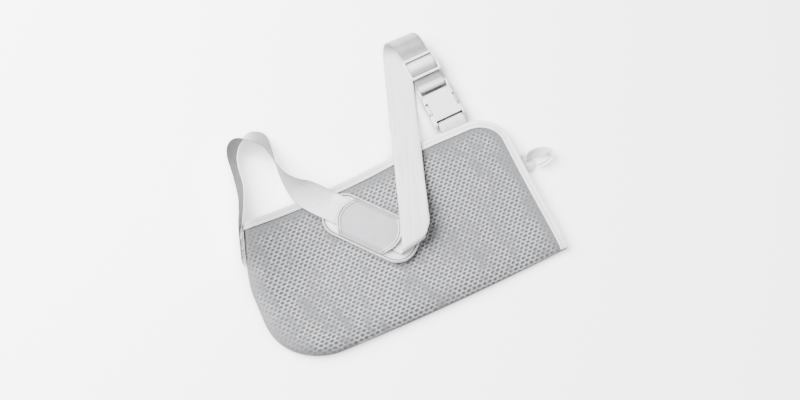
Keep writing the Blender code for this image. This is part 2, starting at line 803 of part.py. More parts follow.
def thumb_loop(web, parts):
    """A sewn tab at the hand end and the ribbon loop it holds."""
    pivot = new_empty("thumb_loop_swing", (THUMB_X, THUMB_Y, THUMB_Z))
    corners = ((0, -13), (6, -14), (15, -9), (16, -1), (10, 10), (4, 13), (0, 13))
    outline = [(x * MM, y * MM) for x, y in corners]
    tab = plate("thumb_loop_tab", outline, 1.6 * MM, -0.8 * MM, Vector((THUMB_X, THUMB_Y, THUMB_Z)))
    bevel(tab, 0.4 * MM, 1)
    finish_object(tab, web, parts)
    stations = [
        station(206, 30.6, 11.2, (0.1, 0.4, 1)),
        station(214, 33, 10.2, (0, 0.8, 0.8)),
        station(225, 32.8, 8.8, (0.1, 1, 0.6)),
        station(234.6, 30, 8.4, (0.5, 0.8, 0.7)),
        station(240.6, 25.6, 8.4, (0.4, 0.2, 1)),
        station(239.6, 21.4, 9, (-0.05, 0, 1)),
        station(233, 18, 9, (-0.2, -0.1, 1)),
        station(225.4, 16.4, 9, (-0.2, -0.1, 1)),
        station(217.4, 16, 9.4, (-0.1, -0.1, 1)),
    ]
    loop = ribbon("thumb_loop_ribbon", smooth_path(stations, 4), THUMB_W, 1 * MM)
    finish_object(loop, web, parts)
    for piece in (tab, loop):
        add_parent(piece, pivot)


def main():
    clear_scene()
    parts = new_collection("arm_sling")
    cutters = new_collection("arm_sling_cutters")
    mesh_fabric = material("mesh_fabric", MESH_GREY, 0.9)
    tape = material("binding_tape", WHITE_TAPE, 0.8)
    web = material("webbing", WHITE_WEBBING, 0.75)
    foam = material("pad_fabric", WHITE_TAPE, 0.85)
    cover = material("cover_fabric", PAD_GREY, 0.7)
    plastic = material("buckle_plastic", BUCKLE_WHITE, 0.35)

    panel("pouch_front_panel", 0, front_middle_z, mesh_fabric, parts)
    panel("pouch_back_panel", BACK_EXTRA, back_middle_z, mesh_fabric, parts)
    binding("front_binding", 0, front_middle_z, tape, parts)
    binding("back_binding", BACK_EXTRA, back_middle_z, tape, parts)
    last, outgoing = strap_parts(web, parts)
    strap_turn(last, outgoing, web, parts)
    shoulder_pad(foam, cover, tape, parts, cutters)
    buckle_frame = new_empty("buckle_frame", BUCKLE_PLACE, BUCKLE_ANGLE)
    strap_hardware(web, parts, buckle_frame)
    buckle_female(plastic, parts, cutters, buckle_frame)
    buckle_male(plastic, parts, cutters, buckle_frame)
    slider(plastic, parts, cutters, buckle_frame)
    thumb_loop(tape, parts)


main()
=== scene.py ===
"""Looks for the arm sling: knitted mesh pouch, bound edges, woven strap, soft pad and moulded buckle.

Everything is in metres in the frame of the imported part: +X runs along the pouch to the hand end, +Y to the
open top edge, +Z up from the table.
"""

from math import cos, exp, pi, radians, sin, sqrt

import bpy
from mathutils import Matrix, Vector, noise


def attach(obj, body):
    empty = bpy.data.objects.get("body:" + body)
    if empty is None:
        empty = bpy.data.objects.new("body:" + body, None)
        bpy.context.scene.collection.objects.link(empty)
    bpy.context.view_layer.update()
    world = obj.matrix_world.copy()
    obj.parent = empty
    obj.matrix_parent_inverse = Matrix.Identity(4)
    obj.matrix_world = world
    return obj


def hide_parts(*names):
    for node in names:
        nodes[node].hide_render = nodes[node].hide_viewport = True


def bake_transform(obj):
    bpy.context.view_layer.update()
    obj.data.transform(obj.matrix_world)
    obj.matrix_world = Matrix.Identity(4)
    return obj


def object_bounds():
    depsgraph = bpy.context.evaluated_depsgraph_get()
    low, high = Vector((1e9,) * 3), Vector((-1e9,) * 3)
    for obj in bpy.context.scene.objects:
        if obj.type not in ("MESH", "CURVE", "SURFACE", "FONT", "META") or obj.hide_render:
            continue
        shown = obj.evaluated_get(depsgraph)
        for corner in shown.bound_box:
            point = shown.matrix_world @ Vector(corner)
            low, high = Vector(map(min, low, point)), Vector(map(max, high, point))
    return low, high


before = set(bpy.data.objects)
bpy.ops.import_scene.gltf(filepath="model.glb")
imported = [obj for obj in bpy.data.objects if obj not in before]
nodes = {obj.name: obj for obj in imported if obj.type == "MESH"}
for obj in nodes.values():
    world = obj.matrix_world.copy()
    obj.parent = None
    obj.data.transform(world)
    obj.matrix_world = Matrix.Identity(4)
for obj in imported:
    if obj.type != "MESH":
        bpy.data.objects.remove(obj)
cad_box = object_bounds()

MM = 0.001
GAP = 0.3 * MM

# Pouch
POUCH_LEFT = -199.5 * MM
POUCH_RIGHT = 200 * MM
POUCH_BOTTOM = -104 * MM
POUCH_TOP = 104 * MM
ELBOW_CORNER_X = -176.5 * MM
ELBOW_CORNER_L = 84 * MM
FABRIC_T = 2.4 * MM
FLAT_HEIGHT = 19 * MM
HAND_HEIGHT = 13.4 * MM
ELBOW_RISE = 18 * MM
FOLD_RADIUS = 26 * MM
ELBOW_RADIUS = 26 * MM
ELBOW_PINCH = 17 * MM
BACK_EXTRA = 5 * MM

# Knitted holes, in rows along the pouch
HOLE_STEP = (7.6 * MM, 8.6 * MM)
HOLE_HALF = (2.55 * MM, 1.55 * MM)
HOLE_DEPTH = 1.0 * MM
KNOT_HEIGHT = 0.3 * MM
HOLE_FADE = 25 * MM
ELBOW_FADE = 36 * MM
FRONT_PITCH = 0.94 * MM
BACK_PITCH = 1.3 * MM
ROW_CROWD = 0.12
COLUMN_CROWD = 0.06
INSIDE_STEP = 5
YARN_TINT = (0.955, 0.96, 1.0)
# Yarn greys by hole value: painted shade in the holes, painted highlight on the knots between them
YARN_WITH_PAINTED_SHADE_AND_HIGHLIGHT = ((0.05, 0.445), (0.3, 0.228), (0.5, 0.165), (1, 0.095))

# Binding tape
TAPE_W = 9.5 * MM
TAPE_T = 0.7 * MM
TAPE_GAP = 0.4 * MM
TAPE_STEP = 2.4 * MM
TAPE_DEPTHS = (0.2, 0.42, 0.52, 0.62, 0.85, 1.0)
GROOVE_DEPTH = 0.52
TAPE_NOSE = 0.9 * MM
STITCH_L = 2.5 * MM
STITCH_STEP = 3.6 * MM
STITCH_R = 0.26 * MM

# Webbing
WEB_W = 38 * MM
WEB_T = 1.6 * MM

# Crinkled seam at the elbow
SEAM_W = 4.5 * MM
SEAM_T = 3 * MM
SEAM_LIFT = 15 * MM
SEAM_STEPS = 72
SEAM_SIDES = 12

# Shoulder pad
PAD_CENTRE = Vector((-24.9 * MM, 27.3 * MM, 0))
PAD_ANGLE = radians(-50)
PAD_L = 133 * MM
PAD_W = 60 * MM
PAD_Z = 20.8 * MM
PAD_T = 8 * MM
PAD_END_R = 27 * MM
PIPING_W = 3.2 * MM
PIPING_GAP = 0.2 * MM
PIPING_SIDES = 12
OUTLINE_STEP = 3 * MM
# The foam's sides: millimetres in from the piping, with the height above its underside, then below its top
PAD_SIDE = ((24, 0.3), (9, 0.3), (3, 0.7), (0.5, 2), (0, 4))
PAD_CROWN = ((0.4, 2.4), (1.6, 1.9), (2.4, 2.1), (4, 1.2), (6.5, 0.6), (10, 0.4), (24, 0.35))
COVER_L = 87 * MM
COVER_X = -2 * MM
COVER_T = 5.4 * MM
COVER_ARC = 13 * MM
COVER_HALF_W = (PAD_W - 2 * PIPING_W - 1 * MM) / 2
COVER_LOW = PAD_Z + PAD_T - 0.2 * MM
COVER_HIGH = PAD_Z + PAD_T + GAP + COVER_T - 0.4 * MM
COVER_GRID = (72, 44)
COVER_RIBS = ((0.7 * MM, 1.35 * MM), (4.0 * MM, 1.15 * MM))
COVER_SEAM_STEPS = 40
STRAP_IN_PAD_Z = PAD_Z + PAD_T + 1.3 * MM

# The sewn end at the elbow, the loop that stands on its edge, and the twist that lays it flat: a place in
# millimetres and the direction across the webbing
ELBOW_LOOP = (
    (-194.2, 57, 19.8, (0.1, -0.02, 1)),
    (-187.6, 80, 19.8, (0.1, -0.02, 1)),
    (-181, 99, 19.8, (0.08, -0.02, 1)),
    (-173, 116, 19.8, (0.05, -0.02, 1)),
    (-165.4, 134, 19.8, (-0.02, 0, 1)),
    (-158.6, 160, 19.8, (-0.15, 0.1, 1)),
    (-155, 190, 19.8, (-0.17, 0.15, 1)),
    (-148.5, 205, 19.8, (-0.09, 0.13, 1)),
    (-137.5, 212.6, 19.6, (0, -0.12, 1)),
    (-121, 213.5, 16.4, (-0.05, -0.64, 0.77)),
    (-106, 202, 14.6, (-0.22, -0.7, 0.68)),
    (-103.4, 182, 17.6, (-0.14, -0.52, 0.84)),
    (-103.4, 158, 22.6, (0.05, -0.3, 0.95)),
    (-101, 137, 27.6, (0.26, -0.14, 0.93)),
    (-94.5, 119, 32, (0.5, 0.08, 0.8)),
    (-84, 103, 33.6, (0.72, 0.36, 0.42)),
)

# The long run of the strap: millimetres along it from the fold, and its height there
STRAP_FOOT = Vector((17.6 * MM, -19 * MM, 0))
RUN_ANGLE = radians(70.7)
RUN_HEIGHTS = (
    (13, 38.9), (30, 38.9), (55, 35), (80, 27.5), (100, 24.4),
    (122, 23.6), (142, 19), (164, 10), (186, 3.4), (212, 1.6),
)
FOLD_START = 5.6 * MM
FOLD_ROOM = 12 * MM
FOLD_R = 4.3 * MM
FOLD_CORNER = 17 * MM
FOLD_CUT = 8 * MM
TURN_LENGTH = 64.5 * MM
TURN_RADIUS = 13.5 * MM
TURN_OUT = Vector((0.32, -0.947, 0))
LEAD_STEPS = 8
LEAD_CUT = 12

# Painted shade on the webbing, darker where it faces away from the light: (millimetres along, tone), on its
# upper side and its lower one
STRAP_PAINTED_SHADE = (
    ((0, 0.9), (160, 0.82), (178, 0.66), (196, 0.32), (245, 0.32), (270, 1)),
    (
        (0, 0.95), (30, 0.9), (56, 0.36), (165, 0.36), (235, 0.3),
        (268, 0.34), (290, 0.5), (322, 0.82), (345, 1),
    ),
)
# Painted shade for the other webbing pieces: none, the lead down to the slider, the loop round the buckle's
# bar, and the weave in the slider
NO_PAINTED_SHADE = (((0, 1),),) * 2
LEAD_PAINTED_SHADE = (((0, 0.7),),) * 2
LOOP_PAINTED_SHADE = (((0, 0.3), (9, 0.34), (10, 1)),) * 2
SLIDER_PAINTED_SHADE = (((0, 1), (19, 1), (27, 0.6), (34, 0.45)),) * 2
# The same painted shade past the crown of the top turn, on both sides
TURN_PAINTED_SHADE = ((0, 0.9), (10, 0.55), (24, 0.45), (36, 0.7))

# Buckle and slider, in their own frame
BUCKLE_PLACE = Vector((137.3 * MM, 129.1 * MM, 0))
BUCKLE_ANGLE = radians(1.9)
BUCKLE_Z = 8.6 * MM
SLOT_L = 3.4 * MM
BAR_L = 3 * MM
BAR_WRAP_R = 3.3 * MM
MALE_BAR_Y = 51.5 * MM
SLIDER_START = 66.6 * MM
SLIDER_L = 31.5 * MM
SLIDER_Z = 16.4 * MM
WEAVE_RISE = 2.6 * MM
MOULDED = ("buckle_female", "buckle_male", "buckle_left_latch_arm", "buckle_right_latch_arm", "slider")

# Thumb loop
THUMB_PLACE = Vector((200.1 * MM, 27 * MM, 3.6 * MM))
THUMB_W = 13 * MM
THUMB_T = 1 * MM
THUMB_TAB_MIDDLE = 6.5 * MM
# Out from the tab, round, and back, as ELBOW_LOOP
THUMB_LOOP = (
    (206, 30.6, 11.2, (0.1, 0.4, 1)),
    (214, 33, 10.2, (0, 0.8, 0.8)),
    (225, 32.8, 8.8, (0.1, 1, 0.6)),
    (234.6, 30, 8.4, (0.5, 0.8, 0.7)),
    (240.6, 25.6, 8.4, (0.4, 0.2, 1)),
    (239.6, 21.4, 9, (-0.05, 0, 1)),
    (233, 18, 9, (-0.2, -0.1, 1)),
    (225.4, 16.4, 9, (-0.2, -0.1, 1)),
    (217.4, 16, 9.4, (-0.1, -0.1, 1)),
)

# Camera, floor and light
CAMERA_AZIMUTH = radians(-24.7)
CAMERA_ELEVATION = radians(74)
CAMERA_DISTANCE = 1.2
CAMERA_LENS = 40.56
CAMERA_TARGET = Vector((0.0271, 0.0495, 0.010))
FLOOR_SIZE = 24
FLOOR_GLOW = 1.5
BUCKLE_SHADE = (46 * MM, 105 * MM, 1)
KEY_PLACE = (-0.9, 0.95, 1.42)
FILL_PLACE = (0.2, -0.9, 2.2)
LIGHT_AIM = (0, 0.05, 0)
WORLD_LIGHT = 0.46


# ---------------------------------------------------------------- node materials

class Finish:
    """A Principled material and short ways to wire nodes into it."""

    def __init__(self, name, colour, roughness):
        self.material = bpy.data.materials.new(name)
        self.material.use_nodes = True
        self.tree = self.material.node_tree
        self.shader = self.tree.nodes["Principled BSDF"]
        self.surface("Base Color", (*colour, 1))
        self.surface("Roughness", roughness)
        self.surface("Specular IOR Level", 0.3)

    def feed(self, socket, value):
        """Links another node's output to a socket, or sets the socket itself."""
        if isinstance(value, bpy.types.NodeSocket):
            self.tree.links.new(value, socket)
        else:
            socket.default_value = value

    def surface(self, name, value):
        self.feed(self.shader.inputs[name], value)

    def colour(self, value):
        self.surface("Base Color", value)

    def node(self, kind, settings, inputs, output):
        """One output of a new node, with its settings and with its inputs set or linked by name."""
        made = self.tree.nodes.new(kind)
        for key, value in settings.items():
            setattr(made, key, value)
        for name, value in inputs.items():
            self.feed(made.inputs[name], value)
        return made.outputs[output]

    def coordinates(self, use_uv):
        return self.node("ShaderNodeTexCoord", {}, {}, "UV" if use_uv else "Object")

    def attribute(self, name):
        return self.node("ShaderNodeAttribute", {"attribute_name": name}, {}, "Fac")

    def part(self, vector, axis):
        return self.node("ShaderNodeSeparateXYZ", {}, {"Vector": vector}, axis)

    def scaled(self, coordinates, scale=(1, 1, 1), angle=0.0):
        inputs = {"Vector": coordinates, "Scale": scale, "Rotation": (0, 0, angle)}
        return self.node("ShaderNodeMapping", {}, inputs, "Vector")

    def noise(self, coordinates, scale, detail):
        inputs = {"Vector": coordinates, "Scale": scale, "Detail": detail}
        return self.node("ShaderNodeTexNoise", {}, inputs, "Fac")

    def wave(self, coordinates, direction, scale, distortion):
        inputs = {"Vector": coordinates, "Scale": scale, "Distortion": distortion, "Detail": 1}
        return self.node("ShaderNodeTexWave", {"bands_direction": direction}, inputs, "Fac")

    def math(self, operation, a, b):
        return self.node("ShaderNodeMath", {"operation": operation}, {0: a, 1: b}, 0)

    def ramp(self, factor, stops):
        """Colours along a factor: (place, colour) pairs."""
        made = self.tree.nodes.new("ShaderNodeValToRGB")
        elements = made.color_ramp.elements
        while len(elements) < len(stops):
            elements.new(0.5)
        for element, (place, colour) in zip(elements, stops):
            element.position = place
            element.color = (*colour, 1)
        self.feed(made.inputs["Fac"], factor)
        return made.outputs["Color"]

    def greys(self, factor, *stops, tint=(1, 1, 1)):
        """Greys along a factor: (place, value) pairs."""
        return self.ramp(factor, [(place, grey(value, tint)) for place, value in stops])

    def multiply(self, colour, *others):
        settings = {"data_type": "RGBA", "blend_type": "MULTIPLY"}
        for other in others:
            inputs = {"Factor": 1, "A": colour, "B": other}
            colour = self.node("ShaderNodeMix", settings, inputs, "Result")
        return colour

    def nearness(self, coordinates, middle, reach, angle=0.0):
        """1 at a place, fading to 0 at its reach in x and y."""
        inputs = {"Vector": coordinates, "Location": middle, "Rotation": (0, 0, angle), "Scale": reach}
        local = self.node("ShaderNodeMapping", {"vector_type": "TEXTURE"}, inputs, "Vector")
        return self.node("ShaderNodeTexGradient", {"gradient_type": "SPHERICAL"}, {"Vector": local}, "Fac")

    def painted_shade_in_gaps(self, colour, distance, deepest, start=0.35, end=0.85):
        """The colour with painted shade: darker in folds and gaps narrower than a distance."""
        room = self.node("ShaderNodeAmbientOcclusion", {"samples": 6}, {"Distance": distance}, "AO")
        return self.multiply(colour, self.greys(room, (start, deepest), (end, 1.0)))

    def roughness(self, factor, low, high):
        inputs = {"Value": factor, "To Min": low, "To Max": high}
        self.surface("Roughness", self.node("ShaderNodeMapRange", {}, inputs, "Result"))

    def bump(self, height, distance, strength):
        inputs = {"Height": height, "Distance": distance, "Strength": strength}
        self.surface("Normal", self.node("ShaderNodeBump", {}, inputs, "Normal"))

    def sheen(self, weight, roughness=0.5):
        self.surface("Sheen Weight", weight)
        self.surface("Sheen Roughness", roughness)


def grey(value, tint=(1, 1, 1)):
    return tuple(value * t for t in tint)


def knit_material():
    """Polyester spacer mesh: pale yarn, darker near the elbow, with painted shade in the knitted holes, on
    steep sides and in gaps, and painted highlight on the knots.
    """
    made = Finish("knit_mesh", grey(0.5), 0.85)
    place = made.coordinates(False)
    # Painted shade in the hole dimples and painted highlight on the knots, from the hole value
    yarn = made.greys(made.attribute("hole"), *YARN_WITH_PAINTED_SHADE_AND_HIGHLIGHT, tint=YARN_TINT)
    loops = made.wave(made.scaled(place, angle=radians(28)), "X", 240, 1.2)
    across = made.wave(made.scaled(place, angle=radians(-31)), "Y", 205, 1.2)
    weave = made.math("MULTIPLY", loops, across)
    fibre = made.noise(place, 900, 2)
    shade = made.greys(weave, (0, 0.8), (0.35, 0.97), (1, 1.14))
    patches = made.ramp(made.noise(place, 26, 3), ((0.3, grey(0.93, (0.99, 1.0, 1.005))), (0.7, grey(1.0))))
    # Painted shade on faces that turn away from straight up, such as the fold and the elbow's rounded edge
    facing = made.part(made.node("ShaderNodeNewGeometry", {}, {}, "True Normal"), "Z")
    sides = made.greys(facing, (0.15, 0.42), (0.7, 1.0))
    elbow = made.greys(made.nearness(place, (-0.17, 0.08, 0), (0.13, 0.1, 1)), (0, 1.0), (0.8, 0.68))
    cloth = made.multiply(yarn, shade, patches, sides, elbow)
    # Painted shade where the mesh lies close under other pieces or folds on itself
    made.colour(made.painted_shade_in_gaps(cloth, 15 * MM, 0.72, 0.2, 0.82))
    made.bump(made.math("ADD", weave, made.math("MULTIPLY", fibre, 0.5)), 0.25 * MM, 0.9)
    made.roughness(fibre, 0.75, 0.95)
    made.sheen(0.15)
    return made.material


def webbing_material(name, value, width=WEB_W, rib=1500.0):
    """Smooth polyester webbing: fine ribs across, warp ends along, and firmer selvedges; painted shade at the
    selvedges, along its loops and turns, and in gaps.
    """
    made = Finish(name, grey(value), 0.62)
    place = made.coordinates(True)
    weft = made.wave(place, "Y", rib / 2, 0.3)
    warp = made.wave(place, "X", rib / 3, 0.4)
    weave = made.math("ADD", made.math("MULTIPLY", weft, 0.6), made.math("MULTIPLY", warp, 0.5))
    streaks = made.noise(made.scaled(place, (260, 14, 1)), 1, 2)
    fibre = made.noise(place, 1400, 2)
    shade = made.ramp(weave, ((0, grey(value * 0.9, (0.995, 0.997, 1.0))), (1, grey(value))))
    lines = made.ramp(streaks, ((0.3, grey(0.84, (0.997, 0.997, 1.006))), (0.7, grey(1.0))))
    # Painted shade towards both selvedges
    from_middle = made.math("MULTIPLY", made.math("ABSOLUTE", made.part(place, "X"), 0), 2 / width)
    selvedge_painted_shade = made.greys(from_middle, (0.9, 1.0), (0.95, 0.86), (0.985, 0.8))
    # The tone attribute is painted shade where loops and turns of webbing face away from the light
    plain = made.multiply(shade, lines, selvedge_painted_shade, made.attribute("tone"))
    # Painted shade in gaps, under bars and between layers
    made.colour(made.painted_shade_in_gaps(plain, 7 * MM, 0.35, 0.4, 0.9))
    made.bump(made.math("ADD", weave, made.math("MULTIPLY", fibre, 0.35)), 0.12 * MM, 0.8)
    made.roughness(streaks, 0.52, 0.7)
    made.sheen(0.2, 0.4)
    return made.material


def tape_material():
    """Binding tape: a plain weave with fine cross ribs, with painted shade greyer towards the elbow and in
    gaps.
    """
    made = Finish("binding_weave", grey(0.8), 0.7)
    place = made.coordinates(True)
    ribs = made.wave(place, "Y", 620, 0.6)
    warp = made.wave(place, "X", 520, 0.4)
    weave = made.math("ADD", ribs, made.math("MULTIPLY", warp, 0.4))
    patches = made.noise(made.scaled(place, (30, 70, 1)), 1, 2)
    shade = made.greys(weave, (0, 0.82), (1, 0.96))
    worn = made.ramp(patches, ((0.35, grey(0.94, (0.997, 0.998, 1.0))), (0.65, grey(1.0))))
    # Painted shade, greyer towards the elbow
    from_elbow = made.math("ADD", made.part(made.coordinates(False), "X"), 0.2)
    elbow_painted_shade = made.greys(from_elbow, (0.02, 0.5), (0.16, 0.68), (0.3, 1.0))
    # Painted shade in the tape's narrow gaps
    made.colour(made.painted_shade_in_gaps(made.multiply(shade, worn, elbow_painted_shade), 3 * MM, 0.3, 0.4, 0.94))
    made.bump(weave, 0.14 * MM, 0.9)
    made.sheen(0.15)
    return made.material


def cloth_material(name, colour, weave_scale, bump, streak=0.95):
    """Close-woven cloth over foam, with a soft sheen and painted shade in its narrow gaps."""
    made = Finish(name, colour, 0.7)
    place = made.coordinates(False)
    turned = made.scaled(place, angle=PAD_ANGLE)
    warp = made.wave(turned, "X", weave_scale, 0.3)
    weft = made.wave(turned, "Y", weave_scale, 0.3)
    weave = made.math("MULTIPLY", warp, weft)
    fibre = made.noise(place, 1100, 2)
    patches = made.noise(place, 45, 3)
    shade = made.greys(weave, (0, 0.93), (1, 1.0))
    tone = made.ramp(patches, ((0.3, tuple(c * streak for c in colour)), (0.7, colour)))
    # Painted shade in narrow gaps
    made.colour(made.painted_shade_in_gaps(made.multiply(tone, shade), 4 * MM, 0.3, 0.4, 0.98))
    made.bump(made.math("ADD", weave, made.math("MULTIPLY", fibre, 0.4)), bump, 0.8)
    made.roughness(patches, 0.6, 0.78)
    made.sheen(0.35, 0.35)
    return made.material


def plastic_material():
    """Moulded acetal: satin, with a faint grain, slight flow variation and painted shade in its slots and
    gaps.
    """
    made = Finish("buckle_satin", grey(0.84), 0.36)
    place = made.coordinates(False)
    grain = made.noise(place, 1600, 2)
    flow = made.noise(place, 60, 2)
    plain = made.ramp(flow, ((0.3, grey(0.66, (0.995, 0.998, 1.0))), (0.7, grey(0.74))))
    # Painted shade in slots and gaps
    made.colour(made.painted_shade_in_gaps(plain, 5 * MM, 0.12))
    made.roughness(flow, 0.3, 0.44)
    made.bump(grain, 0.03 * MM, 0.5)
    made.surface("Specular IOR Level", 0.5)
    return made.material


def thread_material(name, value):
    """Twisted polyester thread."""
    made = Finish(name, grey(value), 0.55)
    place = made.coordinates(False)
    twist = made.wave(made.scaled(place, angle=radians(45)), "X", 900, 0.5)
    made.colour(made.greys(twist, (0, value * 0.8), (1, value)))
    made.bump(twist, 0.1 * MM, 0.7)
    made.sheen(0.2)
    return made.material


# ---------------------------------------------------------------- mesh helpers

def mesh_object(name, verts, faces, material, uvs=None):
    """A smooth mesh from lists; uvs is one (u, v) for each vertex."""
    mesh = bpy.data.meshes.new(name)
    mesh.from_pydata([tuple(v) for v in verts], [], faces)
    if uvs is not None:
        layer = mesh.uv_layers.new(name="UVMap")
        for loop in mesh.loops:
            layer.data[loop.index].uv = uvs[loop.vertex_index]
    mesh.shade_smooth()
    mesh.set_sharp_from_angle(angle=radians(58))
    mesh.materials.append(material)
    mesh.update()
    obj = bpy.data.objects.new(name, mesh)
    bpy.context.scene.collection.objects.link(obj)
    return obj


def set_finish(node, material):
    """Puts a material on a CAD node."""
    obj = nodes[node]
    obj.data.materials.clear()
    obj.data.materials.append(material)


def tube_grid(rings, count, first=0):
    """Quads around and along closed rings of count vertices each, with both ends capped."""
    faces = []
    for row in range(rings - 1):
        for k in range(count):
            after = (k + 1) % count
            a = first + row * count
            b = a + count
            faces.append((a + k, a + after, b + after, b + k))
    last = first + (rings - 1) * count
    faces.append(tuple(first + k for k in range(count))[::-1])
    faces.append(tuple(last + k for k in range(count)))
    return faces


def ease(t):
    """A smooth step from 0 to 1."""
    t = min(max(t, 0), 1)
    return t * t * (3 - 2 * t)


def round_over(distance, radius):
    """0 at an edge and 1 a radius away, as a quarter circle."""
    near = min(max(1 - distance / radius, 0), 1)
    return sqrt(1 - near * near)


def smooth_path(places, per_span):
    """Catmull-Rom points through (centre, across) pairs."""
    path = []
    for i in range(len(places) - 1):
        around = [places[min(max(k, 0), len(places) - 1)] for k in range(i - 1, i + 3)]
        for step in range(per_span):
            t = step / per_span
            weights = (
                -0.5 * t + t**2 - 0.5 * t**3,
                1 - 2.5 * t**2 + 1.5 * t**3,
                0.5 * t + 2 * t**2 - 1.5 * t**3,
                -0.5 * t**2 + 0.5 * t**3,
            )
            centre = Vector()
            across = Vector()
            length = 0
            for weight, (place, direction) in zip(weights, around):
                centre += weight * place
                across += weight * direction
                length += weight * direction.length
            path.append((centre, across.normalized() * length))
    path.append(places[-1])
    return path


def stations(table):
    """(centre, across) pairs from a table of places in millimetres and directions across."""
    return [(Vector(place) * MM, Vector(across).normalized()) for *place, across in table]


def ribbon_section(width, thickness, columns):
    """(across, up) pairs round a webbing's section, with rounded, slightly thicker selvedges."""
    half = width / 2
    top = []
    for k in range(columns + 1):
        place = -1 + 2 * k / columns
        inward = half * (1 - abs(place))
        edge = min(1, inward / (thickness * 0.8))
        crown = 0.93 + 0.12 * exp(-((inward - 1.8 * MM) / (0.9 * MM)) ** 2)
        up = thickness / 2 * sqrt(1 - (1 - edge) ** 2) * crown
        top.append((half * place, max(up, 0.12 * thickness)))
    return top + [(across, -up) for across, up in top[::-1]]


def between(pairs, place):
    """A value read off straight lines between (place, value) pairs."""
    if place <= pairs[0][0]:
        return pairs[0][1]
    for (low, value), (high, value_after) in zip(pairs, pairs[1:]):
        if place <= high:
            return value + (value_after - value) * (place - low) / (high - low)
    return pairs[-1][1]


def ribbon(name, path, material, width=WEB_W, thickness=WEB_T, columns=14, painted_shades=NO_PAINTED_SHADE):
    """Webbing swept along a path of (centre, across), with its width and length as UV.

    Its painted shade comes as (millimetres along, tone) pairs, for the webbing's upper side and its lower
    one.
    """
    section = ribbon_section(width, thickness, columns)
    verts = []
    uvs = []
    painted_shade_values = []
    travelled = 0.0
    for k, (centre, across) in enumerate(path):
        ahead = path[min(k + 1, len(path) - 1)][0] - path[max(k - 1, 0)][0]
        normal = across.cross(ahead).normalized()
        if k:
            travelled += (centre - path[k - 1][0]).length
        for side, up in section:
            verts.append(centre + across * side + normal * up)
            uvs.append((side, travelled))
            painted_shade_values.append(between(painted_shades[up < 0], travelled / MM))
    made = mesh_object(name, verts, tube_grid(len(path), len(section)), material, uvs)
    set_painted_shade(made, painted_shade_values)
    return made


def set_painted_shade(obj, painted_shade_values):
    """Painted shade at each vertex: how grey it makes the webbing's colour."""
    layer = obj.data.attributes.new("tone", "FLOAT", "POINT")
    layer.data.foreach_set("value", painted_shade_values)


def stitch_rings(start, end, normal, radius):
    """One raised stitch: a short tube that dives into the cloth at both ends."""
    along = (end - start).normalized()
    side = along.cross(normal).normalized()
    rings = []
    profile = ((0, 0.35, -0.9), (0.16, 0.9, 0.1), (0.5, 1, 0.35), (0.84, 0.9, 0.1), (1, 0.35, -0.9))
    for t, size, lift in profile:
        centre = start.lerp(end, t) + normal * radius * lift
        ring = []
        for k in range(6):
            angle = 2 * pi * k / 6
            ring.append(centre + (side * cos(angle) + normal * sin(angle)) * radius * size)
        rings.append(ring)
    return rings


def stitches(name, line, material, radius=STITCH_R, length=STITCH_L, step=STITCH_STEP):
    """Stitches along a line of (point, normal), as one piece."""
    verts = []
    faces = []
    spots = resampled(line, step)
    share = length / step
    for (here, normal), (there, _) in zip(spots, spots[1:]):
        middle = here.lerp(there, 0.5)
        half = (there - here) * share / 2
        rings = stitch_rings(middle - half, middle + half, normal, radius)
        faces += tube_grid(len(rings), len(rings[0]), len(verts))
        for ring in rings:
            verts += ring
    return mesh_object(name, verts, faces, material)


def resampled(line, step):
    """Evenly spaced (point, normal) along a line."""
    found = [line[0]]
    left = step
    for (here, up), (there, up_after) in zip(line, line[1:]):
        length = (there - here).length
        travelled = 0.0
        while length - travelled >= left:
            travelled += left
            t = travelled / length
            found.append((here.lerp(there, t), up.lerp(up_after, t).normalized()))
            left = step
        left -= length - travelled
    return found


# ---------------------------------------------------------------- pouch shape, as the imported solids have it

def left_edge(t):
    corner = 0.38
    x = POUCH_LEFT + (ELBOW_CORNER_X - POUCH_LEFT) * max(0, (t - 0.58) / 0.42) ** 1.3
    if t < corner:
        x += ELBOW_CORNER_L * (1 - sqrt(max(0, 1 - (1 - t / corner) ** 2.15)))
    return x


def right_edge(t):
    corner = 0.8
    x = POUCH_RIGHT - 2 * MM * ease(t / 0.6)
    if t > corner:
        x -= 46 * MM * (1 - sqrt(max(0, 1 - ((t - corner) / (1 - corner)) ** 2)))
    return x


def bottom_edge(s):
    return POUCH_BOTTOM + 3 * MM * (2 * s - 1) ** 2


def top_edge(s):
    return POUCH_TOP - 4 * MM + 9 * MM * ease((s - 0.4) / 0.5)


def plan_point(s, t, extra):
    """A place on a panel, s from elbow to hand and t from fold to top edge."""
    x = left_edge(t) + s * (right_edge(t) - left_edge(t))
    y = bottom_edge(s) + t * (top_edge(s) + extra - bottom_edge(s))
    return x, y


def lifted_height(x, y):
    slope = ease((150 * MM - x) / (118 * MM))
    rise = exp(-(((x + 200 * MM) / (62 * MM)) ** 2))
    upper = 0.42 + 0.58 * ease((y + 70 * MM) / (130 * MM))
    return HAND_HEIGHT + (FLAT_HEIGHT - HAND_HEIGHT) * slope + ELBOW_RISE * rise * upper


def front_middle_z(s, t):
    x, y = plan_point(s, t, 0)
    fold = round_over(y - bottom_edge(s), FOLD_RADIUS)
    pinched = ELBOW_PINCH * ease((y - 36 * MM) / (22 * MM))
    seam = round_over(x - left_edge(t), ELBOW_RADIUS - pinched)
    lowest = back_middle_z(s, t) + FABRIC_T + 2 * GAP
    highest = lifted_height(x, y) - FABRIC_T / 2
    return lowest + (highest - lowest) * fold * seam


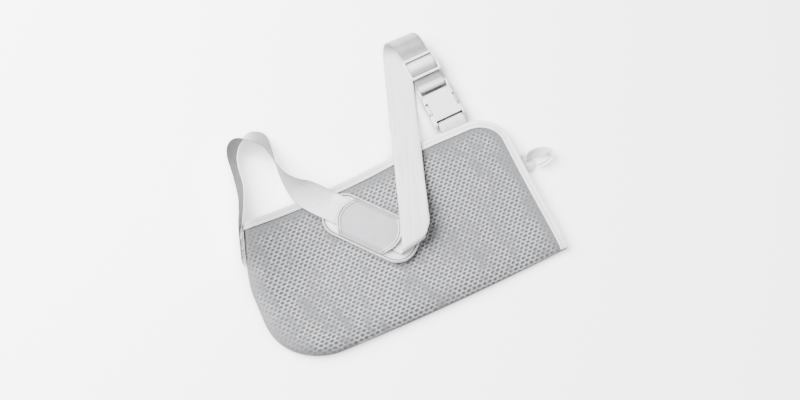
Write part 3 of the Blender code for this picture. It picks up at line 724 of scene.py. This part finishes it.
def back_middle_z(s, t):
    x, y = plan_point(s, t, BACK_EXTRA)
    to_edge = min(right_edge(t) - x, top_edge(s) + BACK_EXTRA - y)
    clear = (to_edge - TAPE_W - 3 * MM) / (14 * MM)
    return FABRIC_T / 2 + (TAPE_T + TAPE_GAP + GAP) * (1 - ease(clear))


def knit_height(x, y):
    """-1 in the middle of a knitted hole, up to 1 on the knots of yarn between holes."""
    u = x / HOLE_STEP[0] + 0.12 * noise.noise(Vector((x * 150, y * 150, 0.9)))
    v = y / HOLE_STEP[1] + 0.1 * noise.noise(Vector((x * 150, y * 150, 9.4)))
    from_hole = 4
    for shift in (0, 0.5):
        along = abs((u + shift) % 1 - 0.5) * HOLE_STEP[0] / HOLE_HALF[0]
        across = abs((v + shift) % 1 - 0.5) * HOLE_STEP[1] / HOLE_HALF[1]
        from_hole = min(from_hole, along**2 + across**2)
    if from_hole > 1:
        return min(from_hole - 1, 1)
    return -ease(1.2 * (1 - from_hole))


def openness(x, y, to_edge, to_elbow):
    """How open the knit is: closed up near the bound edges and the elbow, and uneven elsewhere."""
    slow = noise.noise(Vector((x * 22, y * 22, 0.3)))
    each = noise.noise(Vector((x * 120, y * 120, 5.3)))
    streak = noise.noise(Vector((x * 70 + y * 25, y * 12, 8.1)))
    uneven = 0.9 + 0.4 * slow + 0.5 * each + 0.5 * streak
    off_edge = ease((to_edge - 6 * MM) / HOLE_FADE)
    off_elbow = 0.35 + 0.65 * ease((to_elbow - 4 * MM) / ELBOW_FADE)
    return min(1, max(0.05, (0.12 + 0.88 * off_edge * off_elbow) * uneven))


def wrinkle(x, y):
    """Slow unevenness of cloth lying slack, in metres."""
    slow = noise.noise(Vector((x * 14, y * 14, 4.1))) * 0.5 * MM
    return slow + noise.noise(Vector((x * 42, y * 30, 1.7))) * 0.18 * MM


def crowded(share, crowd):
    """Rows crowd a little towards 0, where the cloth curves most."""
    return share ** (1 + crowd)


def panel_grid(rows, columns, extra):
    """(s, t, x, y) at each vertex of a panel, row by row from the fold."""
    for j in range(rows + 1):
        t = crowded(j / rows, ROW_CROWD)
        for i in range(columns + 1):
            s = crowded(i / columns, COLUMN_CROWD)
            yield s, t, *plan_point(s, t, extra)


def knit_panel(name, node, extra, middle_z, pitch, up, material):
    """One panel of spacer mesh: dimpled holes on its outer face, plain inside, closed round its edges."""
    columns = round((POUCH_RIGHT - POUCH_LEFT) / pitch)
    rows = round((POUCH_TOP - POUCH_BOTTOM) / pitch)
    verts = []
    holes = []
    for s, t, x, y in panel_grid(rows, columns, extra):
        to_edge = min(right_edge(t) - x, top_edge(s) + extra - y)
        free = ease((to_edge - TAPE_W) / (12 * MM)) * ease(s / 0.04) * ease(t / 0.05)
        knit = knit_height(x, y) * openness(x, y, to_edge, x - left_edge(t))
        relief = KNOT_HEIGHT * (knit - 1) if knit > 0 else HOLE_DEPTH * knit - KNOT_HEIGHT
        slack = wrinkle(x, y) * free if up > 0 else 0
        verts.append(Vector((x, y, middle_z(s, t) + slack + up * (FABRIC_T / 2 + relief))))
        # The hole value paints shade into the holes and a highlight onto the knots
        holes.append(0.5 - 0.5 * knit)
    inside_rows = rows // INSIDE_STEP
    inside_columns = columns // INSIDE_STEP
    first = len(verts)
    for s, t, x, y in panel_grid(inside_rows, inside_columns, extra):
        verts.append(Vector((x, y, middle_z(s, t) - up * FABRIC_T / 2)))
        holes.append(0.6)
    faces = grid_faces(rows, columns, 0, up < 0)
    faces += grid_faces(inside_rows, inside_columns, first, up > 0)
    faces += rim_faces(rim(rows, columns, 0), rim(inside_rows, inside_columns, first), up)
    obj = mesh_object(name, verts, faces, material)
    layer = obj.data.attributes.new("hole", "FLOAT", "POINT")
    layer.data.foreach_set("value", holes)
    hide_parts(node)
    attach(obj, "pouch")
    return obj


def grid_faces(rows, columns, first, flipped):
    faces = []
    wide = columns + 1
    for j in range(rows):
        for i in range(columns):
            a = first + j * wide + i
            quad = (a, a + 1, a + wide + 1, a + wide)
            faces.append(quad[::-1] if flipped else quad)
    return faces


def rim(rows, columns, first):
    """Vertex numbers once round a grid, each side from one corner to the next."""
    wide = columns + 1
    bottom = [first + i for i in range(columns + 1)]
    right = [first + j * wide + columns for j in range(rows + 1)]
    top = [first + rows * wide + i for i in range(columns, -1, -1)]
    left = [first + j * wide for j in range(rows, -1, -1)]
    return bottom, right, top, left


def rim_faces(outer, inner, up):
    """Triangles between a fine rim and a coarse one, side by side."""
    faces = []
    for fine, coarse in zip(outer, inner):
        i = 0
        j = 0
        while i < len(fine) - 1 or j < len(coarse) - 1:
            fine_next = (i + 1) / (len(fine) - 1)
            coarse_next = (j + 1) / (len(coarse) - 1)
            if j >= len(coarse) - 1 or (i < len(fine) - 1 and fine_next <= coarse_next):
                triangle = (fine[i + 1], fine[i], coarse[j])
                i += 1
            else:
                triangle = (fine[i], coarse[j], coarse[j + 1])
                j += 1
            faces.append(triangle if up > 0 else triangle[::-1])
    return faces


# ---------------------------------------------------------------- bindings

def bound_places(extra, middle_z):
    """Even places (point, s, t) along a panel's bound edge, from the elbow by the top to the hand end."""
    fine = [(k / 500, 1.0) for k in range(1, 501)]
    fine += [(1.0, 1 - (k / 300) ** 2 * 0.999) for k in range(1, 301)]
    spots = []
    for s, t in fine:
        x, y = plan_point(s, t, extra)
        spots.append((Vector((x, y, middle_z(s, t))), s, t))
    kept = [spots[0]]
    for spot in spots[1:]:
        if (spot[0] - kept[-1][0]).length >= TAPE_STEP:
            kept.append(spot)
    return kept


def tape_lines(extra, middle_z):
    """For each place: a function from depth into the panel to a point, the outward direction, the point."""
    kept = bound_places(extra, middle_z)
    lines = []
    for k, (point, s, t) in enumerate(kept):
        ahead = kept[min(k + 1, len(kept) - 1)][0] - kept[max(k - 1, 0)][0]
        level = Vector((ahead.y, -ahead.x, 0)).normalized()

        def at(depth, point=point, s=s, t=t, level=level):
            inside = point + level * depth
            t_inside = t + level.y * depth / (top_edge(s) + extra - bottom_edge(s))
            s_inside = (inside.x - left_edge(t_inside)) / (right_edge(t_inside) - left_edge(t_inside))
            if depth > 0:
                inside.z = middle_z(min(max(s_inside, 0), 1), min(max(t_inside, 0), 1))
            return inside

        outward = (at(TAPE_W) - point).cross(ahead).normalized()
        lines.append((at, outward, point))
    return lines


def tape_section(at, outward, pucker):
    """(point, across) pairs once round the folded tape: over the front, round the nose, under, and back."""
    inner = FABRIC_T / 2 + TAPE_GAP
    outer = inner + TAPE_T
    section = []
    for depth in TAPE_DEPTHS[::-1]:
        sunk = 0.5 * MM if depth == GROOVE_DEPTH else 0
        section.append((at(depth * TAPE_W) + outward * (outer - sunk + pucker * depth), depth * TAPE_W))
    edge = at(0)
    out = (edge - at(TAPE_W)).normalized()
    for angle in (60, 25, -25, -60):
        turn = radians(angle)
        section.append((edge + out * TAPE_NOSE * cos(turn) + outward * outer * sin(turn), 0.0))
    for depth in TAPE_DEPTHS:
        section.append((at(depth * TAPE_W) - outward * outer, -depth * TAPE_W))
    for depth in (1.0, 0.5, 0.0):
        section.append((at(depth * TAPE_W) - outward * inner, -depth * TAPE_W))
    for depth in (0.0, 0.5, 1.0):
        section.append((at(depth * TAPE_W) + outward * inner, depth * TAPE_W))
    return section


def binding(name, node, extra, middle_z, tape, thread):
    """Tape folded over a panel's edge and stitched through, slightly puckered between stitches."""
    lines = tape_lines(extra, middle_z)
    verts = []
    uvs = []
    travelled = 0.0
    stitch_line = []
    for k, (at, outward, point) in enumerate(lines):
        if k:
            travelled += (point - lines[k - 1][2]).length
        pucker = 0.14 * MM * sin(travelled / (7.5 * MM) * 2 * pi) + 0.12 * MM * noise.noise(point * 160)
        section = tape_section(at, outward, pucker)
        for spot, across in section:
            verts.append(spot)
            uvs.append((across, travelled))
        groove = FABRIC_T / 2 + TAPE_GAP + TAPE_T - 0.4 * MM + pucker
        stitch_line.append((at(GROOVE_DEPTH * TAPE_W) + outward * groove, outward))
    obj = mesh_object(name, verts, tube_grid(len(lines), len(section)), tape, uvs)
    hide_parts(node)
    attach(obj, "pouch")
    sewn = stitches(name + "_stitches", stitch_line, thread)
    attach(sewn, "pouch")
    return obj, sewn


# ---------------------------------------------------------------- strap

def strap_line(distance, z):
    """A place on the strap's straight line through the pad, measured back from the fold."""
    heading = Vector((cos(PAD_ANGLE), sin(PAD_ANGLE), 0))
    return STRAP_FOOT - heading * distance + Vector((0, 0, z))


def roll(start, across_start, heading, outgoing, radius, steps=18):
    """Stations where a flat strap rolls over itself, upwards, and leaves in another direction."""
    normal = (heading - outgoing).normalized()
    axis = Vector((-normal.y, normal.x, 0))
    along_axis = heading.dot(axis)
    along_normal = heading.dot(normal)
    up = Vector((0, 0, 1))
    side = 1 if across_start.dot(axis * along_normal - normal * along_axis) > 0 else -1
    across = axis * side / along_normal
    path = []
    for step in range(steps + 1):
        angle = pi * step / steps
        centre = start + axis * (along_axis / along_normal * radius * angle)
        centre = centre + normal * radius * sin(angle) + up * radius * (1 - cos(angle))
        path.append((centre, across))
    return path


def drawn_in(path, corner, reach, depth):
    """A path whose webbing loses some width on its right near a corner, so that a fold ends in a curve."""
    rounded = []
    for centre, across in path:
        edge = centre + across * WEB_W / 2
        near = max(0, 1 - (edge - corner).length / reach)
        trim = depth * near**2
        rounded.append((centre - across * trim / 2, across * (1 - trim / WEB_W)))
    return rounded


def buckle_to_world(point):
    return Matrix.Translation(BUCKLE_PLACE) @ Matrix.Rotation(BUCKLE_ANGLE, 4, "Z") @ point


def elbow_to_fold(across):
    """From the sewn end at the elbow, through the pad, to where the strap folds back."""
    flat = [(strap_line(d * MM, STRAP_IN_PAD_Z), across) for d in (128, 118, 100, 60, 30)]
    path = smooth_path(stations(ELBOW_LOOP) + flat, 8)
    path.append((strap_line(FOLD_START + FOLD_ROOM, STRAP_IN_PAD_Z), across))
    return path


def fold_and_run(across, heading, outgoing):
    """The fold with its rounded corner, and the long run down to the table."""
    folded = roll(strap_line(FOLD_START, STRAP_IN_PAD_Z), across, heading, outgoing, FOLD_R)
    folded_end, slanted = folded[-1]
    square = Vector((outgoing.y, -outgoing.x, 0))
    front = []
    for distance, height in RUN_HEIGHTS:
        centre = folded_end + outgoing * distance * MM
        centre.z = height * MM
        front.append((centre, square))
    run = smooth_path(front, 6)
    rise = [(folded_end.lerp(run[0][0], k / 7), slanted.lerp(square, k / 7)) for k in range(1, 7)]
    corner = folded[13][0] + folded[13][1] * WEB_W / 2
    return drawn_in(folded + rise + run, corner, FOLD_CORNER, FOLD_CUT)


def lead_to_slider(end, across):
    """From the top turn down to the slider."""
    side = Vector((cos(BUCKLE_ANGLE), sin(BUCKLE_ANGLE), 0))
    side = side if across.x > 0 else -side
    under = SLIDER_Z - WEAVE_RISE
    weave_top = buckle_to_world(Vector((0, SLIDER_START + SLIDER_L + 2 * MM, under)))
    down = [(end, across)]
    for along, height in ((0.45, 23.5 * MM), (0.75, 16.6 * MM), (1, under)):
        centre = end.lerp(weave_top, along)
        centre.z = height
        down.append((centre, across.lerp(side, along)))
    return smooth_path(down, LEAD_STEPS)


def shoulder_strap(web):
    """One length of webbing: elbow, pad, fold, long run, top turn, and down to the slider."""
    across = Vector((-sin(PAD_ANGLE), cos(PAD_ANGLE), 0))
    heading = Vector((cos(PAD_ANGLE), sin(PAD_ANGLE), 0))
    outgoing = Vector((cos(RUN_ANGLE), sin(RUN_ANGLE), 0))
    path = elbow_to_fold(across) + fold_and_run(across, heading, outgoing)
    last, square = path[-1]
    near = last + outgoing * TURN_LENGTH
    rolled = roll(near, square, outgoing, TURN_OUT, TURN_RADIUS)
    straight = [(last.lerp(near, k / 10), square) for k in range(1, 10)]
    lower = lead_to_slider(*rolled[-1])
    whole = path + straight + rolled[:-1] + lower
    cut = len(whole) - len(lower) + LEAD_CUT
    # Both lengths carry painted shade in their per-vertex tone
    upper = ribbon("shoulder_strap", whole[:cut + 1], web, painted_shades=strap_painted_shade(whole[:cut + 1], near))
    lead = ribbon("strap_to_slider", whole[cut:], web, painted_shades=LEAD_PAINTED_SHADE)
    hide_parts("strap_elbow_loop", "strap_pad_run", "strap_front_run", "strap_top_turn")
    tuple(whole[cut][0])
    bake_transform(upper)
    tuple(whole[cut][0])
    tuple(whole[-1][0])
    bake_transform(lead)


def strap_painted_shade(path, turn):
    """The strap's painted shade, greyer again where it turns over at the top."""
    travelled = 0.0
    for (before, _), (here, _) in zip(path, path[1:]):
        travelled += (here - before).length / MM
        if (here - turn).length < 4 * MM:
            break
    crown = travelled + TURN_RADIUS / MM * pi / 2
    turned = ((travelled, 1),) + tuple((crown + along, tone) for along, tone in TURN_PAINTED_SHADE)
    return STRAP_PAINTED_SHADE[0] + turned, STRAP_PAINTED_SHADE[1] + turned


def elbow_seam(tape):
    """The crinkled tape between the strap's sewn end and the pouch's elbow."""
    path = smooth_path(stations(ELBOW_LOOP[:3]), 40)[:SEAM_STEPS]
    last = len(path) - 2
    verts = []
    uvs = []
    for k, (centre, _) in enumerate(path[:-1]):
        ahead = (path[k + 1][0] - centre).normalized()
        side = Vector((ahead.y, -ahead.x, 0))
        crinkle = noise.noise(centre * 330)
        size = max(0.05, ease(min(k, last - k) / 8) * (1 + 0.25 * crinkle))
        for step in range(SEAM_SIDES):
            angle = 2 * pi * step / SEAM_SIDES
            out = SEAM_W / 2 * (size * cos(angle) + 1 + 0.4 * crinkle) + 1.1 * MM
            up = SEAM_LIFT + SEAM_T / 2 * (size * sin(angle) + crinkle)
            verts.append(centre + side * out + Vector((0, 0, up)))
            uvs.append((out, k * 0.6 * MM))
    seam = mesh_object("elbow_seam_tape", verts, tube_grid(last + 1, SEAM_SIDES), tape, uvs)
    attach(seam, "pouch")


def line_path(points, side):
    """A ribbon path along the buckle's middle, from (y, z) pairs in millimetres."""
    return [(buckle_to_world(Vector((0, y * MM, z * MM))), side) for y, z in points]


def arc(centre_y, centre_z, radius, start, stop, steps=12):
    """(y, z) pairs on an arc, in degrees from +Y."""
    found = []
    for step in range(steps + 1):
        angle = radians(start + (stop - start) * step / steps)
        found.append((centre_y + radius * cos(angle), centre_z + radius * sin(angle)))
    return found


def slider_weave(web, side, low, top, under, over):
    """Under the slider's end bars and over its middle one."""
    middle = (top + low) / 2
    weave = [(top + 2, under), (top - 1, under), (top - 4, under), (top - 8, under + 2.2)]
    for along, up in ((4.4, -0.6), (2, 0.3), (0, 0.5), (-2, 0.3), (-4.4, -0.6)):
        weave.append((middle + along, over + up))
    weave += [(low + 8, under + 2.2), (low + 4, under), (low + 1, under), (low - 1, under)]
    # Painted shade towards the slider's lower bar
    woven = ribbon("strap_in_slider", smooth_path(line_path(weave, side), 4), web, painted_shades=SLIDER_PAINTED_SHADE)
    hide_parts("strap_slider_weave")
    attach(woven, "strap_slider")
    return woven


def buckle_loop(web, side, low, under, bar_y, bar_z, wrap):
    """From the slider round the male buckle's bar, and back under the slider."""
    loop = [(low - 1, under), (low - 5, under - 0.8), (bar_y + 5, bar_z + wrap + 1.2)]
    loop += arc(bar_y, bar_z, wrap, 80, 280, 12)
    loop += [(bar_y + 5, bar_z - wrap + 0.3), (low - 5, under - 3.6)]
    loop += [(low + 2, under - 2.4), (low + 8, under - 2.0)]
    # Painted shade on the first stretch out from under the slider, before the webbing wraps the bar
    looped = ribbon("strap_round_bar", smooth_path(line_path(loop, side), 3), web, painted_shades=LOOP_PAINTED_SHADE)
    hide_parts("strap_buckle_loop")
    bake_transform(looped)
    return looped


def pouch_tab(web, side, bar_z, wrap):
    """The tab that holds the female buckle to the pouch."""
    tail_y = -(SLOT_L + BAR_L / 2) / MM
    tab = [(-38, 6), (-24, 6), (-16, 6), (-10, bar_z - wrap + 0.2)]
    tab += arc(tail_y, bar_z, wrap, -90, 90, 10)
    tab += [(-10, bar_z + wrap - 0.3), (-16, 9), (-22, 8), (-38, 8)]
    sewn = ribbon("pouch_tab", smooth_path(line_path(tab, side), 3), web)
    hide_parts("buckle_tab")
    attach(sewn, "pouch")
    return sewn


def strap_hardware(web):
    """The webbing in the slider, round the male buckle's bar, and the pouch tab."""
    side = Vector((cos(BUCKLE_ANGLE), sin(BUCKLE_ANGLE), 0))
    low = SLIDER_START / MM
    top = (SLIDER_START + SLIDER_L) / MM
    under = (SLIDER_Z - WEAVE_RISE) / MM
    over = (SLIDER_Z + WEAVE_RISE) / MM
    bar_z = BUCKLE_Z / MM
    wrap = BAR_WRAP_R / MM
    woven = slider_weave(web, side, low, top, under, over)
    looped = buckle_loop(web, side, low, under, MALE_BAR_Y / MM, bar_z, wrap)
    sewn = pouch_tab(web, side, bar_z, wrap)


# ---------------------------------------------------------------- shoulder pad

def pad_point(x, y, z):
    """A place in the pad's own frame, as a point of the object's frame."""
    return Matrix.Translation(PAD_CENTRE) @ Matrix.Rotation(PAD_ANGLE, 4, "Z") @ Vector((x, y, z))


def pad_outline(grow, steps=20):
    """The pad's rounded outline, grown or shrunk, about its own origin."""
    length = PAD_L + 2 * grow
    width = PAD_W + 2 * grow
    radius = PAD_END_R + grow
    points = []
    for sign_x, sign_y, start in ((1, 1, 0), (-1, 1, 90), (-1, -1, 180), (1, -1, 270)):
        for step in range(steps + 1):
            angle = radians(start + 90 * step / steps)
            x = sign_x * (length / 2 - radius) + radius * cos(angle)
            y = sign_y * (width / 2 - radius) + radius * sin(angle)
            points.append((x, y))
    return divided(points, OUTLINE_STEP)


def divided(points, step):
    """A closed outline with its long stretches divided."""
    found = []
    for (x, y), (x_after, y_after) in zip(points, points[1:] + points[:1]):
        count = max(1, round(sqrt((x_after - x) ** 2 + (y_after - y) ** 2) / step))
        for k in range(count):
            found.append((x + (x_after - x) * k / count, y + (y_after - y) * k / count))
    return found


def pad_shell(name, levels, material):
    """A closed pillow from rings of (grow, z), bottom middle to top middle."""
    verts = []
    for grow, z in levels:
        outline = pad_outline(grow)
        for x, y in outline:
            ripple = 0.12 * MM * noise.noise(Vector((x * 90, y * 90, z * 40)))
            verts.append(pad_point(x, y, z + ripple))
    return mesh_object(name, verts, tube_grid(len(levels), len(outline)), material)


def pad_base(foam, tape, thread):
    """The foam pad with softly rounded sides, its piped rim, and the stitch line inside the rim."""
    top = PAD_Z + PAD_T
    inset = PIPING_W + PIPING_GAP
    levels = [(-inset - into * MM, PAD_Z + up * MM) for into, up in PAD_SIDE]
    levels += [(-inset - into * MM, top - down * MM) for into, down in PAD_CROWN]
    base = pad_shell("pad_foam", levels, foam)
    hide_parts("pad_base")

    half_height = (PAD_T - 1 * MM) / 2
    section = []
    for k in range(PIPING_SIDES):
        angle = 2 * pi * k / PIPING_SIDES
        section.append((PIPING_W / 2 * (cos(angle) - 1), PAD_Z + half_height * (1 + sin(angle))))
    piping = ring_tube("pad_piping", section, tape)
    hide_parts("pad_edging")

    up = Vector((0, 0, 1))
    line = [(pad_point(x, y, top - 2.0 * MM), up) for x, y in pad_outline(-inset - 2.2 * MM)]
    sewn = stitches("pad_stitches", line + line[:1], thread)
    for piece in (base, piping, sewn):
        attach(piece, "shoulder_pad")


def ring_tube(name, section, material):
    """A rim that follows the pad's outline: section is (grow, z) once round it."""
    outlines = [pad_outline(grow) for grow, _ in section]
    count = len(outlines[0])
    wide = len(section)
    verts = []
    uvs = []
    faces = []
    for k in range(count):
        after = (k + 1) % count
        for j, (grow, z) in enumerate(section):
            turn = (j + 1) % wide
            verts.append(pad_point(*outlines[j][k % len(outlines[j])], z))
            uvs.append((grow, k * OUTLINE_STEP))
            faces.append((k * wide + j, k * wide + turn, after * wide + turn, after * wide + j))
    return mesh_object(name, verts, faces, material, uvs)


def cover_x(share, v, inset=0.0):
    """Where along the pad a place on the cover is: its ends bow inwards at the sides."""
    return COVER_X + share * (COVER_L / 2 - COVER_ARC * v * v - inset)


def cover_z(v):
    """How high the cover is: sewn down at its long sides, flat over the strap."""
    return COVER_LOW + (COVER_HIGH - COVER_LOW) * ease((1 - abs(v)) / 0.24)


def cover_point(u, v, outer):
    """A place on the cover's outer skin or its inner one, u along the pad and v across it."""
    x = cover_x(u, v)
    y = v * COVER_HALF_W
    top = cover_z(v)
    if not outer:
        return pad_point(x, y, min(max(COVER_LOW - 0.3 * MM, top - 1.5 * MM), top - 0.5 * MM))
    crown = 0.5 * MM * (1 - u * u) * (1 - v * v)
    dip = 0.12 * MM * noise.noise(Vector((x * 60, y * 60, 2)))
    return pad_point(x, y, top + crown + dip)


def cover_seam(sign, inset, reach, lift):
    """Points along one bowed end of the cover."""
    points = []
    for step in range(COVER_SEAM_STEPS + 1):
        v = (-1 + 2 * step / COVER_SEAM_STEPS) * reach
        points.append(pad_point(cover_x(sign, v, inset), v * COVER_HALF_W, cover_z(v) + lift))
    return points


def cover_faces(columns, rows):
    """The cover's outer skin, its inner one, and the four sides between them."""
    wide = rows + 1
    first = (columns + 1) * wide
    faces = grid_faces(columns, rows, 0, True) + grid_faces(columns, rows, first, False)
    for i in range(columns):
        for j in (0, rows):
            a, b = i * wide + j, (i + 1) * wide + j
            quad = (a, b, first + b, first + a)
            faces.append(quad if j else quad[::-1])
    for j in range(rows):
        for i in (0, columns):
            a, b = i * wide + j, i * wide + j + 1
            quad = (a, b, first + b, first + a)
            faces.append(quad[::-1] if i else quad)
    return faces


def pad_cover(cover, tape, thread):
    """The cover cloth that makes the strap's tunnel, with bowed ends, each hemmed with two raised ribs."""
    columns, rows = COVER_GRID
    verts = []
    for outer in (True, False):
        for i in range(columns + 1):
            for j in range(rows + 1):
                verts.append(cover_point(-1 + 2 * i / columns, -1 + 2 * j / rows, outer))
    cloth = mesh_object("pad_cover_cloth", verts, cover_faces(columns, rows), cover)
    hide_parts("pad_cover", "pad_cover_left_hem", "pad_cover_right_hem")
    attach(cloth, "shoulder_pad")

    up = Vector((0, 0, 1))
    for sign, side in ((-1, "left"), (1, "right")):
        for rib, (inset, radius) in enumerate(COVER_RIBS):
            path = cover_seam(sign, inset, 0.97, 0.15 * MM)
            piece = bead(f"pad_{side}_seam_rib_{rib + 1}", path, radius, tape)
            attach(piece, "shoulder_pad")
        line = [(point, up) for point in cover_seam(sign, 2.3 * MM, 0.95, 0.25 * MM)]
        sewn = stitches(f"pad_{side}_seam_stitches", line, thread, 0.26 * MM, 2.0 * MM, 2.9 * MM)
        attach(sewn, "shoulder_pad")


def bead(name, path, radius, material, sides=10):
    """A rounded rib along a line of points, tapered at both ends."""
    up = Vector((0, 0, 1))
    verts = []
    uvs = []
    travelled = 0.0
    for k, centre in enumerate(path):
        ahead = (path[min(k + 1, len(path) - 1)] - path[max(k - 1, 0)]).normalized()
        side = ahead.cross(up).normalized()
        lift = side.cross(ahead)
        size = radius * (0.35 + 0.65 * ease(min(k, len(path) - 1 - k) / 3))
        if k:
            travelled += (centre - path[k - 1]).length
        for step in range(sides):
            angle = 2 * pi * step / sides
            verts.append(centre + side * size * cos(angle) + lift * size * 0.8 * sin(angle))
            uvs.append((size * angle, travelled))
    return mesh_object(name, verts, tube_grid(len(path), sides), material, uvs)


# ---------------------------------------------------------------- thumb loop

def thumb_tab(web):
    """The sewn tab: a low pillow with a flat hem, from rings of (grow, height)."""
    corners = ((-0.6, -13), (4, -13.6), (9, -12), (14.6, -8.6), (16, -3), (14, 4), (10, 9.6), (4, 12.6))
    outline = divided([(x * MM, y * MM) for x, y in (*corners, (-0.6, 12.6))], 1.5 * MM)
    levels = [(0.3, -0.75), (0.96, -0.75), (1.0, -0.4), (1.0, 0.3)]
    levels += [(0.96, 0.7), (0.9, 0.62), (0.84, 0.78), (0.3, 0.85)]
    verts = []
    uvs = []
    for grow, z in levels:
        for x, y in outline:
            along = THUMB_TAB_MIDDLE + (x - THUMB_TAB_MIDDLE) * grow
            verts.append(THUMB_PLACE + Vector((along, y * grow, z * MM)))
            uvs.append((y * grow, along))
    tab = mesh_object("thumb_tab", verts, tube_grid(len(levels), len(outline)), web, uvs)
    set_painted_shade(tab, [1.0] * len(verts))
    return tab


def thumb_loop(web, thread):
    """The ribbon loop, its sewn tab, and the row of stitches that holds it to the pouch."""
    loop = ribbon("thumb_ribbon", smooth_path(stations(THUMB_LOOP), 10), web, THUMB_W, THUMB_T, 8)
    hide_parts("thumb_loop_ribbon")
    tab = thumb_tab(web)
    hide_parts("thumb_loop_tab")
    row = [THUMB_PLACE + Vector((2.6 * MM, (y - 12) * MM, 0.8 * MM)) for y in range(0, 25, 2)]
    line = [(point, Vector((0, 0, 1))) for point in row]
    sewn = stitches("thumb_stitches", line, thread, 0.26 * MM, 1.9 * MM, 2.7 * MM)
    for piece in (loop, tab, sewn):
        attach(piece, "thumb_loop")


# ---------------------------------------------------------------- floor, lights, camera

def floor():
    """A plain white floor that glows a little, less so under the buckle to paint shade there, with painted
    shadow near the pieces.
    """
    bpy.ops.mesh.primitive_plane_add(size=FLOOR_SIZE, location=(0, 0, cad_box[0][2] - 0.2 * MM))
    plane = bpy.context.object
    plane.name = "floor"
    made = Finish("floor_white", grey(0.93), 0.9)
    made.surface("Emission Color", (1, 1, 1, 1))
    place = made.coordinates(False)
    middle = tuple(buckle_to_world(Vector((0, 44 * MM, 0))))
    shaded = made.nearness(place, middle, BUCKLE_SHADE, BUCKLE_ANGLE)
    fading = {"Value": shaded, "From Max": 0.5, "To Min": FLOOR_GLOW, "To Max": 0.0}
    made.surface("Emission Strength", made.node("ShaderNodeMapRange", {}, fading, "Result"))
    paper = made.greys(made.noise(place, 3, 1), (0.3, 0.92), (0.7, 0.94))
    # Painted shadow where the pieces stand close over the floor
    made.colour(made.painted_shade_in_gaps(paper, 30 * MM, 0.08, 0.3, 0.8))
    plane.data.materials.append(made.material)


def area_light(name, place, size, power):
    """A soft disc of light aimed at the pouch."""
    data = bpy.data.lights.new(name, "AREA")
    data.energy = power
    data.shape = "DISK"
    data.size = size
    lamp = bpy.data.objects.new(name, data)
    lamp.location = place
    lamp.rotation_euler = (Vector(LIGHT_AIM) - Vector(place)).to_track_quat("-Z", "Y").to_euler()
    bpy.context.scene.collection.objects.link(lamp)


def lights():
    area_light("key", KEY_PLACE, 1.9, 240)
    area_light("fill", FILL_PLACE, 1.2, 24)
    world = bpy.data.worlds.new("studio")
    world.use_nodes = True
    background = world.node_tree.nodes["Background"]
    background.inputs["Color"].default_value = (1, 1, 1, 1)
    background.inputs["Strength"].default_value = WORLD_LIGHT
    bpy.context.scene.world = world


def camera():
    data = bpy.data.cameras.new("camera")
    data.lens = CAMERA_LENS
    data.sensor_width = 36
    made = bpy.data.objects.new("camera", data)
    away = Vector((
        sin(CAMERA_AZIMUTH) * cos(CAMERA_ELEVATION),
        -cos(CAMERA_AZIMUTH) * cos(CAMERA_ELEVATION),
        sin(CAMERA_ELEVATION),
    ))
    made.location = CAMERA_TARGET + away * CAMERA_DISTANCE
    made.rotation_euler = (pi / 2 - CAMERA_ELEVATION, 0, CAMERA_AZIMUTH)
    bpy.context.scene.collection.objects.link(made)
    bpy.context.scene.camera = made


def main():
    knit = knit_material()
    web = webbing_material("strap_webbing", 0.76)
    ribbon_web = webbing_material("thumb_webbing", 0.85, THUMB_W, 2200.0)
    tape = tape_material()
    foam = cloth_material("pad_cloth", grey(0.8), 620, 0.1 * MM)
    cover = cloth_material("cover_cloth", grey(0.40, (1.005, 1.0, 1.06)), 420, 0.06 * MM, 0.86)
    plastic = plastic_material()
    thread = thread_material("white_thread", 0.84)
    grey_thread = thread_material("grey_thread", 0.3)

    front = knit_panel("pouch_front_mesh", "pouch_front_panel", 0, front_middle_z, FRONT_PITCH, 1, knit)
    back = knit_panel(
        "pouch_back_mesh", "pouch_back_panel", BACK_EXTRA, back_middle_z, BACK_PITCH, -1, knit
    )
    front_trim = binding("front_binding_tape", "front_binding", 0, front_middle_z, tape, grey_thread)
    back_trim = binding("back_binding_tape", "back_binding", BACK_EXTRA, back_middle_z, tape, grey_thread)

    shoulder_strap(web)
    elbow_seam(tape)
    strap_hardware(web)
    pad_base(foam, tape, thread)
    pad_cover(cover, tape, grey_thread)
    thumb_loop(ribbon_web, thread)
    for node in MOULDED:
        set_finish(node, plastic)

    floor()
    lights()
    camera()


main()
